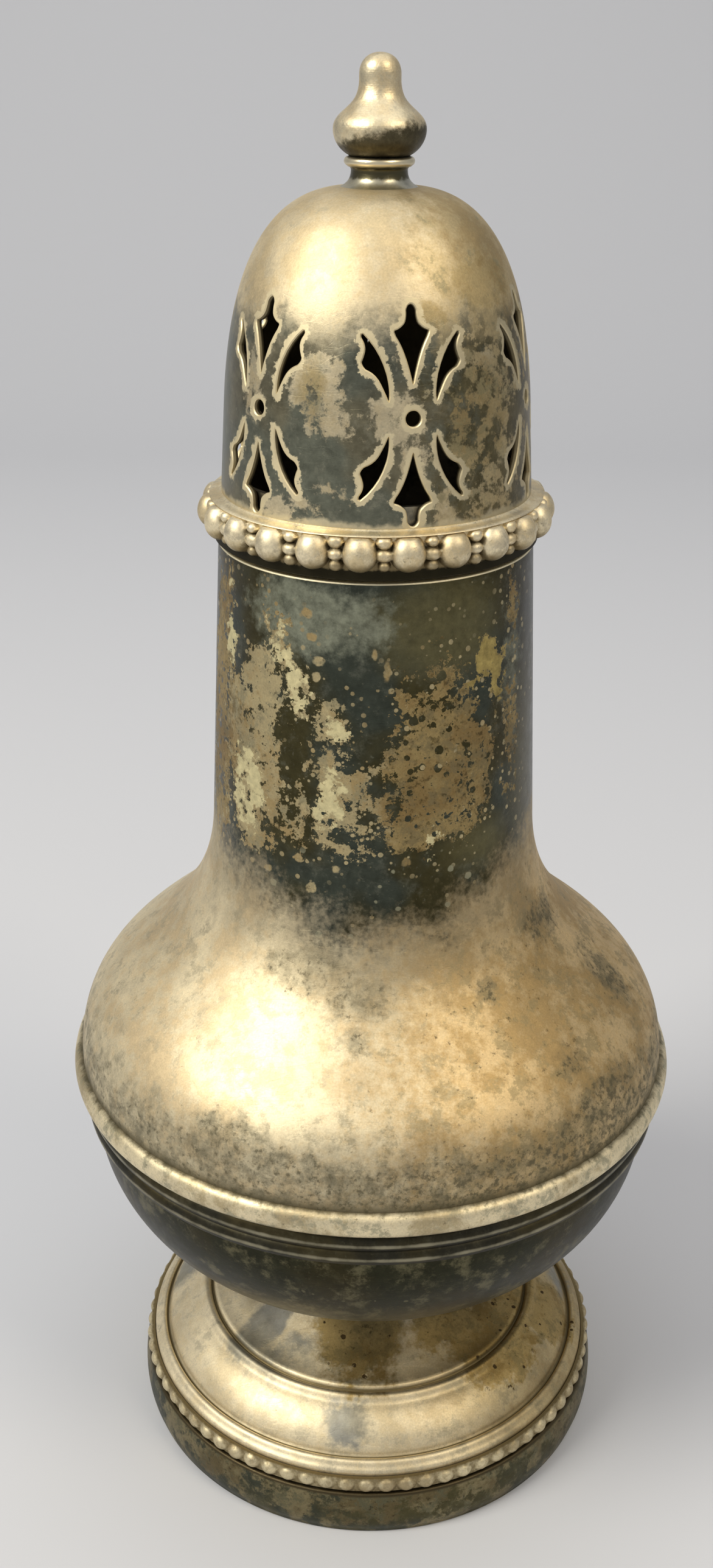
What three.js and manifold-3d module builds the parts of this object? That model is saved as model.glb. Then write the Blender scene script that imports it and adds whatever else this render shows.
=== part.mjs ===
// Antique plated sugar caster: a spun baluster body on a domed foot, with a pierced push-fit cap.
// Millimetres, +Z up. The origin is the centre of the foot's resting ring and -Y is the front.
import * as THREE from "three";
import { mergeVertices } from "three/addons/utils/BufferGeometryUtils.js";
import Module from "manifold-3d";

const wasm = await Module();
wasm.setup();

// Shared making sizes
const solderGap = 0.3; // solder between two pieces that are joined
const slideGap = 0.3; // running clearance, on the radius, of the cap's sleeve in the neck
const cutOverrun = 2; // how far a cutter passes the metal that it cuts
const roundSegments = 32; // facets round the body, foot and cap
const smallSegments = 16; // facets round the finial and its fixing

// Body: neck and shoulder in one spun piece, with a spun bowl under it
const neckMouthRadius = 18.45;
const neckMouthHeight = 126.4;
const neckWall = 0.95;
const neckRootRadius = 20;
const neckRootHeight = 92;
const shoulderBreakRadius = 30.3;
const shoulderBreakHeight = 72.5;
const shoulderLip = 0.7; // how far the shoulder's edge stands out over its rim
const shoulderGroove = 1.55; // open groove between the girdle and the shoulder's edge
const shoulderUndercut = 0.6;
const bodySeamHeight = 54.7;
const bowlWall = 0.9;
const bowlSetback = 0.1; // the bowl's lip against the rim over it
const bowlTaper = 0.4; // the bowl's lip against the foot of the reeds
const bowlFloorRadius = 12.4;
const bowlFloorHeight = 28.4;

// Wires soldered round the body
const girdleRadius = 39.5;
const girdleThickness = 1.6;
const girdleHalfDepth = 1.75;
const girdleSeat = 0.15; // the girdle's lower edge above the seam
const reedBandDrop = 0.4; // the band's upper edge under the seam
const reedBandDepth = 4.3;
const reedBandMargin = 0.2; // the bowl's straight side goes on this far under the band
const reedStandOut = 0.55;
const reedValleyDepth = 0.4;

// Foot
const footRestRadius = 32.1;
const footWall = 0.8;
const skirtHeight = 6.7;
const skirtFullness = 0.6;
const skirtBulgeShare = 0.48; // of the skirt's height
const skirtWall = 1.1;
const skirtLedge = 2.2;
const skirtLedgeDepth = 0.9;
const footWireDepth = 1.6;
const footWireHeight = 1.4;
const footBeadCount = 75;
const footBeadRadius = 1.1;
const footBeadStandOut = 0.95; // the beads' crests beyond the strip that they are on
const footRollSetback = 1; // the dome's rolled edge inside the skirt
const footRollRise = 2.5;
const outerGrooveSetback = 1.8; // from the rolled edge in to the groove
const outerGrooveRise = 1.1;
const innerGrooveRadius = 22.7;
const innerGrooveRise = 5; // over the outer groove
const grooveHalfWidth = 0.45;
const grooveDepth = 0.45;
const footStepHeight = 0.5;
const stemFlange = 3;

// Cap
const capSeatGap = 0.3; // the cap's edge stands this far off the neck's rim
const capSetback = 0.25; // the cap's edge inside the neck's outer face
const capWall = 0.7;
const capTaper = 0.9;
const capSideHeight = 15.3;
const capDomeRise = 22.9;
const capCrownRadius = 4;
const sleeveWall = 0.6;
const sleeveDepth = 13;
const sleeveRise = 7.6; // how far the sleeve goes up inside the cap, where the lowest petals show it

// Bead and pearl border of the cap
const borderCount = 23;
const borderBeadRadius = 1.85; // half of a bead's height
const borderStandOut = 2.2;
const borderStrip = 0.35; // the strip that the beads and pearls are stamped in
const borderBeadSeat = 3.05; // the beads' middle above the cap's edge
const borderFlange = 0.4; // over the beads
const pearlDip = 0.35; // how far the metal dips between two pearls of a stack
const borderPhase = 10.6; // degrees, the first bead's place right of the front

// Piercings: six motifs, each of a round eye with three petals above and three below
const motifCount = 6;
const motifPhase = 12.8; // degrees, the first motif's place right of the front
const motifRise = 17; // the eyes' middle above the cap's edge
const eyeRadius = 0.85;
const petalRoot = 3.6;
const petalShoulder = 8.8;
const petalNotch = 9.75;
const petalTip = 11.25;
const petalHalfWidth = 2;
const petalKnobHalfWidth = 0.68;
const sideRootOut = 2.65;
const sideRootUp = 1.85;
const sideTipOut = 5.7;
const sideTipUp = 8.5;
const sideCuspOut = 5.75;
const sideCuspUp = 5.7;

// Finial: a turned knop on a waisted collar, held by a stud and a nut inside the cap
const collarFootRadius = 3.9;
const collarWaistRadius = 2.95;
const collarWaistHeight = 1.1;
const collarRingRadius = 3.6;
const collarRingHeight = 0.9;
const collarHeight = 2.45;
const knopRadius = 4.75;
const knopBulbHeight = 2.3;
const knopNeckRadius = 2.15;
const knopNeckHeight = 6.9;
const knopTipRadius = 1.95;
const knopHeight = 10.1;
const studRadius = 0.9;
const studGap = 0.3;
const studIntoKnop = 3;
const washerRadius = 2.8;
const washerThickness = 0.5;
const nutAcrossFlats = 4;
const nutThickness = 1.6;
const studProud = 0.6;

// What follows from the sizes above
const bodyRimRadius = girdleRadius - girdleThickness - solderGap;
const girdleHeight = bodySeamHeight + girdleSeat + girdleHalfDepth;
const shoulderEdgeRadius = bodyRimRadius + shoulderLip;
const shoulderEdgeHeight = girdleHeight + girdleHalfDepth + shoulderGroove;
const bowlLipRadius = bodyRimRadius - bowlSetback;
const bowlReedRadius = bowlLipRadius - bowlTaper;
const reedBandTop = bodySeamHeight - reedBandDrop;
const reedBandBottom = reedBandTop - reedBandDepth;
const bowlReedHeight = reedBandBottom - reedBandMargin;
const stemRadius = bowlFloorRadius;
const footRollRadius = footRestRadius - footRollSetback;
const footRollHeight = skirtHeight + footRollRise;
const outerGrooveRadius = footRollRadius - outerGrooveSetback;
const outerGrooveHeight = footRollHeight + outerGrooveRise;
const innerGrooveHeight = outerGrooveHeight + innerGrooveRise;
const sleeveRadius = neckMouthRadius - neckWall - slideGap;
const capEdgeHeight = neckMouthHeight + capSeatGap;
const capRadius = neckMouthRadius - capSetback;
const capSpringRadius = capRadius - capTaper;
const capSpringHeight = capEdgeHeight + capSideHeight;
const capCrownHeight = capSpringHeight + capDomeRise;
const motifHeight = capEdgeHeight + motifRise;
const borderInnerRadius = capRadius + solderGap;
const borderFaceRadius = borderInnerRadius + borderStrip;
const borderCentreHeight = capEdgeHeight + borderBeadSeat;
const borderTopHeight = borderCentreHeight + borderBeadRadius + borderFlange;
const degrees = THREE.MathUtils.degToRad;
const metal = (name, colour, roughness) =>
  Object.assign(new THREE.MeshStandardMaterial({ color: colour, roughness, metalness: 1 }), { name });
const warmSilver = metal("warm_silver", 0x9c9078, 0.38);
const darkSilver = metal("dark_silver", 0x5f625a, 0.32);
const wornPlate = metal("worn_plate", 0x8a7c5c, 0.45);
const brass = metal("brass", 0x9b7b3c, 0.4);

const point = (radius, height) => new THREE.Vector2(radius, height);

// Points along a cubic curve, without its first point when it carries on from another curve.
function curve(from, pullFrom, pullTo, to, steps, carriesOn = false) {
  const points = new THREE.CubicBezierCurve(from, pullFrom, pullTo, to).getPoints(steps);
  return carriesOn ? points.slice(1) : points;
}

// The same outline moved sideways by a distance, to the left of its direction of travel.
function offset(points, distance) {
  return points.map((at, i) => {
    const before = points[Math.max(i - 1, 0)];
    const after = points[Math.min(i + 1, points.length - 1)];
    const along = after.clone().sub(before).normalize();
    return point(at.x - along.y * distance, at.y + along.x * distance);
  });
}

// A solid of revolution about Z from a profile of radius and height.
function revolve(profile, segments, closed = true) {
  const area = THREE.ShapeUtils.area(profile);
  const points = area < 0 ? profile.slice().reverse() : profile.slice();
  if (closed) points.push(points[0]);
  return new THREE.LatheGeometry(points, segments).rotateX(Math.PI / 2);
}

// Sheet metal: an outline revolved with a wall on its left side, each face with its own points.
function sheet(outer, wall, segments, inner = offset(outer, wall)) {
  return revolve([...outer, ...inner.slice().reverse()], segments);
}

// A ring whose section changes with the angle: sectionAt(turn) gives the same number of points each time.
function ring(turns, sectionAt) {
  const sections = turns.map(sectionAt);
  const count = sections[0].length;
  const positions = [];
  const index = [];
  sections.forEach((section, i) => {
    const angle = degrees(turns[i]);
    section.forEach((at) => positions.push(at.x * Math.sin(angle), -at.x * Math.cos(angle), at.y));
    const next = (i + 1) % sections.length;
    for (let j = 0; j < count; j += 1) {
      const a = i * count + j;
      const b = i * count + ((j + 1) % count);
      const c = next * count + ((j + 1) % count);
      const d = next * count + j;
      index.push(a, c, b, a, d, c);
    }
  });
  return new THREE.BufferGeometry()
    .setAttribute("position", new THREE.Float32BufferAttribute(positions, 3))
    .setIndex(index);
}

function toManifold(geometry) {
  const bare = geometry.clone();
  bare.deleteAttribute("normal");
  bare.deleteAttribute("uv");
  const merged = mergeVertices(bare);
  return new wasm.Manifold(
    new wasm.Mesh({
      numProp: 3,
      vertProperties: new Float32Array(merged.attributes.position.array),
      triVerts: new Uint32Array(merged.index.array),
    }),
  );
}

function toGeometry(manifold) {
  const mesh = manifold.getMesh();
  const geometry = new THREE.BufferGeometry()
    .setAttribute("position", new THREE.BufferAttribute(mesh.vertProperties, 3))
    .setIndex(new THREE.BufferAttribute(mesh.triVerts, 1));
  geometry.computeVertexNormals();
  return geometry;
}

// Neck and shoulder. The inner face has fewer points than the outer one, as it never shows.
function upperBody() {
  const breakPoint = point(shoulderBreakRadius, shoulderBreakHeight);
  const shoulderReach = shoulderEdgeRadius - shoulderBreakRadius;
  const shoulderRise = shoulderBreakHeight - shoulderEdgeHeight;
  const sweepReach = shoulderBreakRadius - neckRootRadius;
  const sweepRise = neckRootHeight - shoulderBreakHeight;
  const edge = point(shoulderEdgeRadius, shoulderEdgeHeight);
  const edgePullShare = { radius: 0.92, height: 0.46 };
  const breakPullShare = { radius: 0.53, height: 0.73 };
  const sweepPullShare = { radius: 0.63, height: 0.164 };
  const neckPullShare = { radius: 0.03, height: 0.41 };
  const edgePull = point(
    shoulderBreakRadius + shoulderReach * edgePullShare.radius,
    shoulderEdgeHeight + shoulderRise * edgePullShare.height,
  );
  const breakPull = point(
    shoulderBreakRadius + shoulderReach * breakPullShare.radius,
    shoulderEdgeHeight + shoulderRise * breakPullShare.height,
  );
  const sweepPull = point(
    neckRootRadius + sweepReach * sweepPullShare.radius,
    shoulderBreakHeight + sweepRise * sweepPullShare.height,
  );
  const neckPull = point(
    neckRootRadius + sweepReach * neckPullShare.radius,
    shoulderBreakHeight + sweepRise * neckPullShare.height,
  );
  const neckRoot = point(neckRootRadius, neckRootHeight);
  const skin = (shoulderSteps, sweepSteps) => [
    ...curve(edge, edgePull, breakPull, breakPoint, shoulderSteps),
    ...curve(breakPoint, sweepPull, neckPull, neckRoot, sweepSteps, true),
    point(neckMouthRadius, neckMouthHeight),
  ];
  const rimTop = point(bodyRimRadius, shoulderEdgeHeight - shoulderUndercut);
  const rimFoot = point(bodyRimRadius, bodySeamHeight);
  const outer = [rimFoot, rimTop, ...skin(5, 5)];
  const inner = [point(bodyRimRadius - neckWall, bodySeamHeight), ...offset(skin(3, 3), neckWall)];
  return sheet(outer, neckWall, roundSegments, inner);
}

function lowerBowl() {
  const reach = bowlReedRadius - bowlFloorRadius;
  const depth = bowlReedHeight - bowlFloorHeight;
  const sidePullShare = 0.5;
  const floorPullShare = 0.65;
  const floor = point(bowlFloorRadius, bowlFloorHeight);
  const reed = point(bowlReedRadius, bowlReedHeight);
  const floorPull = point(bowlFloorRadius + reach * floorPullShare, bowlFloorHeight);
  const sidePull = point(bowlReedRadius, bowlReedHeight - depth * sidePullShare);
  const lip = point(bowlLipRadius, bodySeamHeight - solderGap);
  const skin = (steps) => [...curve(floor, floorPull, sidePull, reed, steps), lip];
  const outer = [point(0, bowlFloorHeight), ...skin(6)];
  const lifted = offset(skin(4), bowlWall);
  lifted[0].y = bowlFloorHeight + bowlWall;
  lifted[lifted.length - 1].y = lip.y;
  const inner = [point(0, bowlFloorHeight + bowlWall), ...lifted];
  return revolve([...outer, ...inner.reverse()], roundSegments, false);
}

// A half-round wire round the seam of bowl and shoulder.
function girdleWire() {
  const innerRadius = bodyRimRadius + solderGap;
  const outward = girdleRadius - innerRadius;
  const steps = 6;
  const profile = [];
  for (let i = 0; i <= steps; i += 1) {
    const turn = (Math.PI * i) / steps - Math.PI / 2;
    profile.push(
      point(innerRadius + outward * Math.cos(turn), girdleHeight + girdleHalfDepth * Math.sin(turn)),
    );
  }
  return revolve(profile, roundSegments);
}

// Two fine reeds on one strip, which follows the taper of the bowl under the girdle.
function reededBand() {
  const lean = (bowlLipRadius - bowlReedRadius) / (bodySeamHeight - solderGap - bowlReedHeight);
  const backAt = (height) => bowlReedRadius + solderGap + (height - bowlReedHeight) * lean;
  const reedHeight = (reedBandTop - reedBandBottom) / 2;
  const outer = [];
  for (let reed = 0; reed < 2; reed += 1) {
    const from = reedBandBottom + reed * reedHeight;
    outer.push(point(backAt(from) + reedStandOut - reedValleyDepth, from));
    outer.push(point(backAt(from + reedHeight / 2) + reedStandOut, from + reedHeight / 2));
  }
  outer.push(point(backAt(reedBandTop) + reedStandOut - reedValleyDepth, reedBandTop));
  const back = [point(backAt(reedBandBottom), reedBandBottom), point(backAt(reedBandTop), reedBandTop)];
  return revolve([...outer, ...back.reverse()], roundSegments);
}

// The domed foot: a hollow stem, a step and groove, a cushion, a groove and a rolled edge.
function footDome() {
  const flangeHeight = bowlFloorHeight - solderGap;
  const stemReach = innerGrooveRadius - grooveHalfWidth - stemRadius;
  const stemRise = flangeHeight - innerGrooveHeight - grooveDepth;
  const stemPullShare = 0.62;
  const footPullShare = 0.38;
  const cushionPullShare = { radius: 0.35, height: 0.3 };
  const stemTop = point(stemRadius, flangeHeight);
  const stemFoot = point(innerGrooveRadius - grooveHalfWidth, innerGrooveHeight + grooveDepth);
  const stemPull = point(stemRadius, flangeHeight - stemRise * stemPullShare);
  const footPull = point(stemFoot.x - stemReach * footPullShare, stemFoot.y + grooveDepth);
  const stepCrest = point(innerGrooveRadius + grooveHalfWidth * 2, innerGrooveHeight + footStepHeight);
  const cushionEdge = point(outerGrooveRadius - grooveHalfWidth, outerGrooveHeight + grooveDepth);
  const cushionReach = cushionEdge.x - stepCrest.x;
  const cushionFall = stepCrest.y - cushionEdge.y;
  const cushionMiddle = point(
    cushionEdge.x - cushionReach * cushionPullShare.radius,
    cushionEdge.y + cushionFall * (cushionPullShare.radius + cushionPullShare.height / 2),
  );
  const outer = [
    point(stemRadius - stemFlange, flangeHeight),
    ...curve(stemTop, stemPull, footPull, stemFoot, 5),
    point(innerGrooveRadius, innerGrooveHeight),
    stepCrest,
    cushionMiddle,
    cushionEdge,
    point(outerGrooveRadius, outerGrooveHeight),
    point(outerGrooveRadius + grooveHalfWidth * 2, outerGrooveHeight + grooveDepth / 2),
    point(footRollRadius, footRollHeight),
    point(footRollRadius, skirtHeight + solderGap),
  ];
  const inner = [
    point(stemRadius - stemFlange, flangeHeight - footWall),
    ...curve(
      point(stemRadius - footWall, flangeHeight - footWall),
      point(stemPull.x - footWall, stemPull.y - footWall),
      point(footPull.x - footWall, footPull.y - footWall),
      point(stemFoot.x - footWall, stemFoot.y - footWall - grooveDepth),
      3,
    ),
    point(stepCrest.x, stepCrest.y - footWall - footStepHeight),
    point(cushionEdge.x, cushionEdge.y - footWall - grooveDepth),
    point(footRollRadius - footWall, footRollHeight - footWall),
    point(footRollRadius - footWall, skirtHeight + solderGap),
  ];
  return sheet(outer, footWall, roundSegments, inner);
}

// The upright band that the foot stands on, a little full in the middle, with a ledge turned in at
// its top that carries the dome and the beads.
function footSkirt() {
  return revolve(
    [
      point(footRestRadius, 0),
      point(footRestRadius + skirtFullness, skirtHeight * skirtBulgeShare),
      point(footRestRadius, skirtHeight),
      point(footRestRadius - skirtLedge, skirtHeight),
      point(footRestRadius - skirtLedge, skirtHeight - skirtLedgeDepth),
      point(footRestRadius - skirtWall, skirtHeight - skirtLedgeDepth),
      point(footRestRadius - skirtWall, 0),
    ],
    roundSegments,
  );
}

// A flat wire inside the skirt's lower edge, which widens the ring that the foot rests on.
function footWire() {
  const outside = footRestRadius - skirtWall - solderGap;
  return revolve(
    [
      point(outside, 0),
      point(outside, footWireHeight),
      point(outside - footWireDepth, footWireHeight),
      point(outside - footWireDepth, 0),
    ],
    roundSegments,
  );
}

// A run of small round beads: the section swells and shrinks with the cosine of the angle.
function footBeads() {
  const stepsPerBead = 2;
  const valleyShare = 0.35;
  const turns = Array.from({ length: footBeadCount * stepsPerBead }, (_, i) =>
    (360 * i) / (footBeadCount * stepsPerBead));
  const innerRadius = footRollRadius + solderGap;
  const bottom = skirtHeight + solderGap;
  return ring(turns, (turn) => {
    const swell = Math.abs(Math.cos((Math.PI * turn * footBeadCount) / 360));
    const out = footBeadStandOut * (valleyShare + (1 - valleyShare) * swell);
    return [
      point(innerRadius, bottom),
      point(innerRadius + out, bottom + footBeadRadius / 2),
      point(innerRadius + out, bottom + footBeadRadius * 1.5),
      point(innerRadius, bottom + footBeadRadius * 2),
    ];
  });
}

// The bell of the cap, before it is pierced.
function capSkin(steps) {
  const spring = point(capSpringRadius, capSpringHeight);
  const crown = point(capCrownRadius, capCrownHeight);
  const rise = capCrownHeight - capSpringHeight;
  const reach = capSpringRadius - capCrownRadius;
  const sidePullShare = { radius: 0.055, height: 0.57 };
  const crownPullShare = { radius: 0.675, height: 0.98 };
  return [
    point(capRadius, capEdgeHeight),
    ...curve(
      spring,
      point(capSpringRadius - reach * sidePullShare.radius, capSpringHeight + rise * sidePullShare.height),
      point(capCrownRadius + reach * crownPullShare.radius, capSpringHeight + rise * crownPullShare.height),
      crown,
      steps,
    ),
  ];
}

// Half of a centre petal, from its root to its tip, mirrored to make the whole.
function centrePetal() {
  const rootPullShare = { x: 0.22, y: 0.58 };
  const neckPullShare = { x: 0.4, y: 0.37 };
  const shape = new THREE.Shape();
  const side = (sign) => ({
    shoulder: [sign * petalHalfWidth, petalShoulder],
    notch: [sign * petalKnobHalfWidth, petalNotch],
    rootPull: [
      sign * petalHalfWidth * rootPullShare.x,
      petalRoot + (petalShoulder - petalRoot) * rootPullShare.y,
    ],
    neckPull: [
      sign * (petalKnobHalfWidth + (petalHalfWidth - petalKnobHalfWidth) * neckPullShare.x),
      petalShoulder + (petalNotch - petalShoulder) * neckPullShare.y,
    ],
    knobPull: [sign * petalKnobHalfWidth, petalTip],
  });
  const right = side(1);
  const left = side(-1);
  shape.moveTo(0, petalRoot);
  shape.quadraticCurveTo(...right.rootPull, ...right.shoulder);
  shape.quadraticCurveTo(...right.neckPull, ...right.notch);
  shape.quadraticCurveTo(...right.knobPull, 0, petalTip);
  shape.quadraticCurveTo(...left.knobPull, ...left.notch);
  shape.quadraticCurveTo(...left.neckPull, ...left.shoulder);
  shape.quadraticCurveTo(...left.rootPull, 0, petalRoot);
  return shape;
}

// A side petal: a blade with a smooth inner edge and a cusp on its outer edge.
function sidePetal() {
  const root = point(sideRootOut, sideRootUp);
  const tip = point(sideTipOut, sideTipUp);
  const cusp = point(sideCuspOut, sideCuspUp);
  const innerPullShare = { x: -0.05, y: 0.62 };
  const throatPullShare = { x: 0.25, y: 0.5 };
  const rootPullShare = { x: 0.42, y: 0.8 };
  const shape = new THREE.Shape();
  const pull = (from, to, share) =>
    point(from.x + (to.x - from.x) * share.x, from.y + (to.y - from.y) * share.y);
  const rootPull = pull(root, cusp, rootPullShare);
  const throatPull = point(
    cusp.x - (tip.x - root.x) * throatPullShare.x,
    cusp.y + (tip.y - cusp.y) * throatPullShare.y,
  );
  const innerPull = pull(root, tip, innerPullShare);
  shape.moveTo(root.x, root.y);
  shape.quadraticCurveTo(rootPull.x, rootPull.y, cusp.x, cusp.y);
  shape.quadraticCurveTo(throatPull.x, throatPull.y, tip.x, tip.y);
  shape.quadraticCurveTo(innerPull.x, innerPull.y, root.x, root.y);
  return shape;
}

function mirrored(shape, sideways, upright, curveSegments) {
  const points = shape.getPoints(curveSegments).map((at) => point(at.x * sideways, at.y * upright));
  return new THREE.Shape(points);
}

function capShell() {
  const outer = capSkin(7);
  const inner = offset(capSkin(4), capWall);
  inner[0].y = capEdgeHeight;
  inner[inner.length - 1].x = outer[outer.length - 1].x;
  const studHole = point(studRadius + studGap, capCrownHeight);
  const crown = [studHole, point(studHole.x, capCrownHeight - capWall)];
  let shell = toManifold(revolve([...outer, ...crown, ...inner.reverse()], roundSegments));
  const petalSteps = 2;
  const eye = new THREE.Shape().absarc(0, 0, eyeRadius, 0, Math.PI * 2);
  const shapes = [new THREE.Shape(eye.getPoints(3).slice(0, -1))];
  [1, -1].forEach((upright) => {
    shapes.push(mirrored(centrePetal(), 1, upright, petalSteps));
    [1, -1].forEach((sideways) => shapes.push(mirrored(sidePetal(), sideways, upright, petalSteps)));
  });
  const innerReach = capCrownRadius;
  const depth = capRadius + cutOverrun - innerReach;
  for (let motif = 0; motif < motifCount; motif += 1) {
    const turn = degrees(motifPhase + (360 * motif) / motifCount);
    shapes.forEach((shape) => {
      const cutter = new THREE.ExtrudeGeometry(shape, { depth, bevelEnabled: false });
      cutter.translate(0, 0, innerReach).rotateX(Math.PI / 2).translate(0, 0, motifHeight).rotateZ(turn);
      shell = shell.subtract(toManifold(cutter));
    });
  }
  return toGeometry(shell);
}

// The sleeve that plugs into the neck. Inside the cap it leans in with the cap's wall, and it stops
// under the piercings.
function capSleeve() {
  const bottom = capEdgeHeight - sleeveDepth;
  const lean = (capRadius - capSpringRadius) / (capSpringHeight - capEdgeHeight);
  const capSide = capRadius - capWall - solderGap;
  const top = point(capSide - lean * sleeveRise, capEdgeHeight + sleeveRise);
  return revolve(
    [
      point(sleeveRadius - sleeveWall, bottom),
      point(sleeveRadius, bottom),
      point(sleeveRadius, capEdgeHeight - solderGap),
      point(capSide, capEdgeHeight),
      top,
      point(top.x - sleeveWall, top.y),
      point(Math.min(sleeveRadius, capSide) - sleeveWall, capEdgeHeight),
    ],
    roundSegments,
  );
}

// Bead and reel border: one round bead and one stack of three small pearls in each pitch, on a strip
// whose plain lower part lies in the beads' shade.
function capBorder() {
  const pitchShares = [0, 0.18, 0.3, 0.5, 0.7, 0.82];
  const swellShares = [1, 0.8, 0.3, 0.62, 0.3, 0.8];
  const pitch = 360 / borderCount;
  const rows = [-1, -0.5, 0, 0.5, 1];
  const turns = [];
  for (let bead = 0; bead < borderCount; bead += 1)
    pitchShares.forEach((share) => turns.push(borderPhase + (bead + share) * pitch));
  return ring(turns, (turn, order) => {
    const place = order % pitchShares.length;
    const swell = swellShares[place];
    const reach = (borderStandOut - borderStrip) * swell;
    const isReel = pitchShares[place] === 0.5;
    const face = rows.map((row, i) => {
      const round = Math.cos((row * Math.PI) / 3);
      const dip = isReel && i % 2 ? pearlDip : 0;
      return point(borderFaceRadius + reach * round - dip, borderCentreHeight + row * borderBeadRadius);
    });
    return [
      point(borderInnerRadius, capEdgeHeight),
      point(borderFaceRadius, capEdgeHeight),
      point(borderFaceRadius, borderCentreHeight - borderBeadRadius),
      ...face,
      point(borderFaceRadius, borderTopHeight),
      point(borderInnerRadius, borderTopHeight),
    ];
  });
}

// Finial heights are measured from the crown of the cap.
function finialCollar() {
  const base = capCrownHeight + solderGap;
  const bore = studRadius + studGap;
  return revolve(
    [
      point(bore, base),
      point(collarFootRadius, base),
      point(collarWaistRadius, base + collarWaistHeight / 2),
      point(collarWaistRadius, base + collarWaistHeight),
      point(collarRingRadius, base + collarHeight - collarRingHeight),
      point(collarRingRadius, base + collarHeight),
      point(bore, base + collarHeight),
    ],
    smallSegments,
  );
}

function finialKnop() {
  const base = capCrownHeight + collarHeight + solderGap * 2;
  const bore = studRadius + studGap;
  const bulb = point(knopRadius, base + knopBulbHeight);
  const neck = point(knopNeckRadius, base + knopNeckHeight);
  const shoulderShare = 0.5;
  const bulbRise = (neck.y - bulb.y) * shoulderShare;
  const outer = [
    point(bore, base),
    ...curve(point(collarRingRadius, base), point(knopRadius, base + knopBulbHeight / 2), bulb, bulb, 2),
    ...curve(bulb, point(bulb.x, bulb.y + bulbRise), point(neck.x, neck.y - bulbRise), neck, 5, true),
    ...curve(
      neck,
      point(knopTipRadius, base + knopHeight),
      point(knopTipRadius, base + knopHeight),
      point(0, base + knopHeight),
      4,
      true,
    ),
  ];
  const socket = [point(0, base + studIntoKnop), point(bore, base + studIntoKnop)];
  return revolve([...socket, ...outer], smallSegments, false);
}

function finialStud() {
  const top = capCrownHeight + collarHeight + studIntoKnop - studGap;
  const bottom = capCrownHeight - capWall - washerThickness - nutThickness - studProud;
  return revolve(
    [point(0, bottom), point(studRadius, bottom), point(studRadius, top), point(0, top)],
    smallSegments,
    false,
  );
}

function finialWasher() {
  const top = capCrownHeight - capWall - solderGap;
  const bore = studRadius + studGap;
  return revolve(
    [
      point(bore, top - washerThickness),
      point(washerRadius, top - washerThickness),
      point(washerRadius, top),
      point(bore, top),
    ],
    smallSegments,
  );
}

function finialNut() {
  const top = capCrownHeight - capWall - washerThickness - solderGap * 2;
  const corner = nutAcrossFlats / Math.sqrt(3);
  const corners = Array.from({ length: 6 }, (_, i) =>
    point(corner * Math.cos((i * Math.PI) / 3), corner * Math.sin((i * Math.PI) / 3)));
  const hexagon = new THREE.Shape(corners);
  hexagon.holes.push(new THREE.Path().absarc(0, 0, studRadius + studGap, 0, Math.PI * 2));
  return new THREE.ExtrudeGeometry(hexagon, { depth: nutThickness, bevelEnabled: false, curveSegments: 5 })
    .translate(0, 0, top - nutThickness);
}

const caster = new THREE.Group();
function add(name, geometry, material) {
  const mesh = new THREE.Mesh(geometry, material);
  mesh.name = name;
  caster.add(mesh);
}

add("foot_skirt", footSkirt(), wornPlate);
add("foot_wire", footWire(), wornPlate);
add("foot_beads", footBeads(), wornPlate);
add("foot_dome", footDome(), warmSilver);
add("lower_bowl", lowerBowl(), darkSilver);
add("reeded_band", reededBand(), darkSilver);
add("girdle_wire", girdleWire(), warmSilver);
add("upper_body", upperBody(), warmSilver);
add("cap_sleeve", capSleeve(), wornPlate);
add("cap_shell", capShell(), warmSilver);
add("cap_border", capBorder(), warmSilver);
add("finial_collar", finialCollar(), darkSilver);
add("finial_knop", finialKnop(), warmSilver);
add("finial_stud", finialStud(), brass);
add("finial_washer", finialWasher(), brass);
add("finial_nut", finialNut(), brass);

export default caster;
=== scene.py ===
import math
from functools import cached_property, partialmethod

import bmesh
import bpy
import numpy as np
from mathutils import Matrix, Vector
from mathutils.geometry import delaunay_2d_cdt


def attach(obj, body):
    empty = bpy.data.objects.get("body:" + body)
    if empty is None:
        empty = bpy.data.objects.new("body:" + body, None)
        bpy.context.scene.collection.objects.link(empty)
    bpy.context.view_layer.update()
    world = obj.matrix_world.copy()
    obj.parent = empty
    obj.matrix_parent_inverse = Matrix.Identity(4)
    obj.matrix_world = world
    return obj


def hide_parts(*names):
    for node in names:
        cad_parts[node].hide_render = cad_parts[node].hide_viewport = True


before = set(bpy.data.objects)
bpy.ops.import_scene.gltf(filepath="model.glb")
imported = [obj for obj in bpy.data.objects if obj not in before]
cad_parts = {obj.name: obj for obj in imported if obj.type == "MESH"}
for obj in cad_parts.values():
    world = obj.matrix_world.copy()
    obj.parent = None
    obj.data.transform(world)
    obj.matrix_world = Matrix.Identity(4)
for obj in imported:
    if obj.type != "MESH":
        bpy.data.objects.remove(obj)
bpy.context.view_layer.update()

# The studio: a pale floor that curves up behind the caster, soft lamps, and a camera held close to it
# and a little above it, so that the belly looks wide and the foot looks small.
MM = 0.001


def placed(name, data):
    """A new object in the scene that holds a mesh, a lamp or a camera."""
    thing = bpy.data.objects.new(name, data)
    bpy.context.collection.objects.link(thing)
    return thing


def new_material(name):
    """A new material, with its node tree and its Principled BSDF."""
    material = bpy.data.materials.new(name)
    material.use_nodes = True
    return material, material.node_tree, material.node_tree.nodes["Principled BSDF"]


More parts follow.
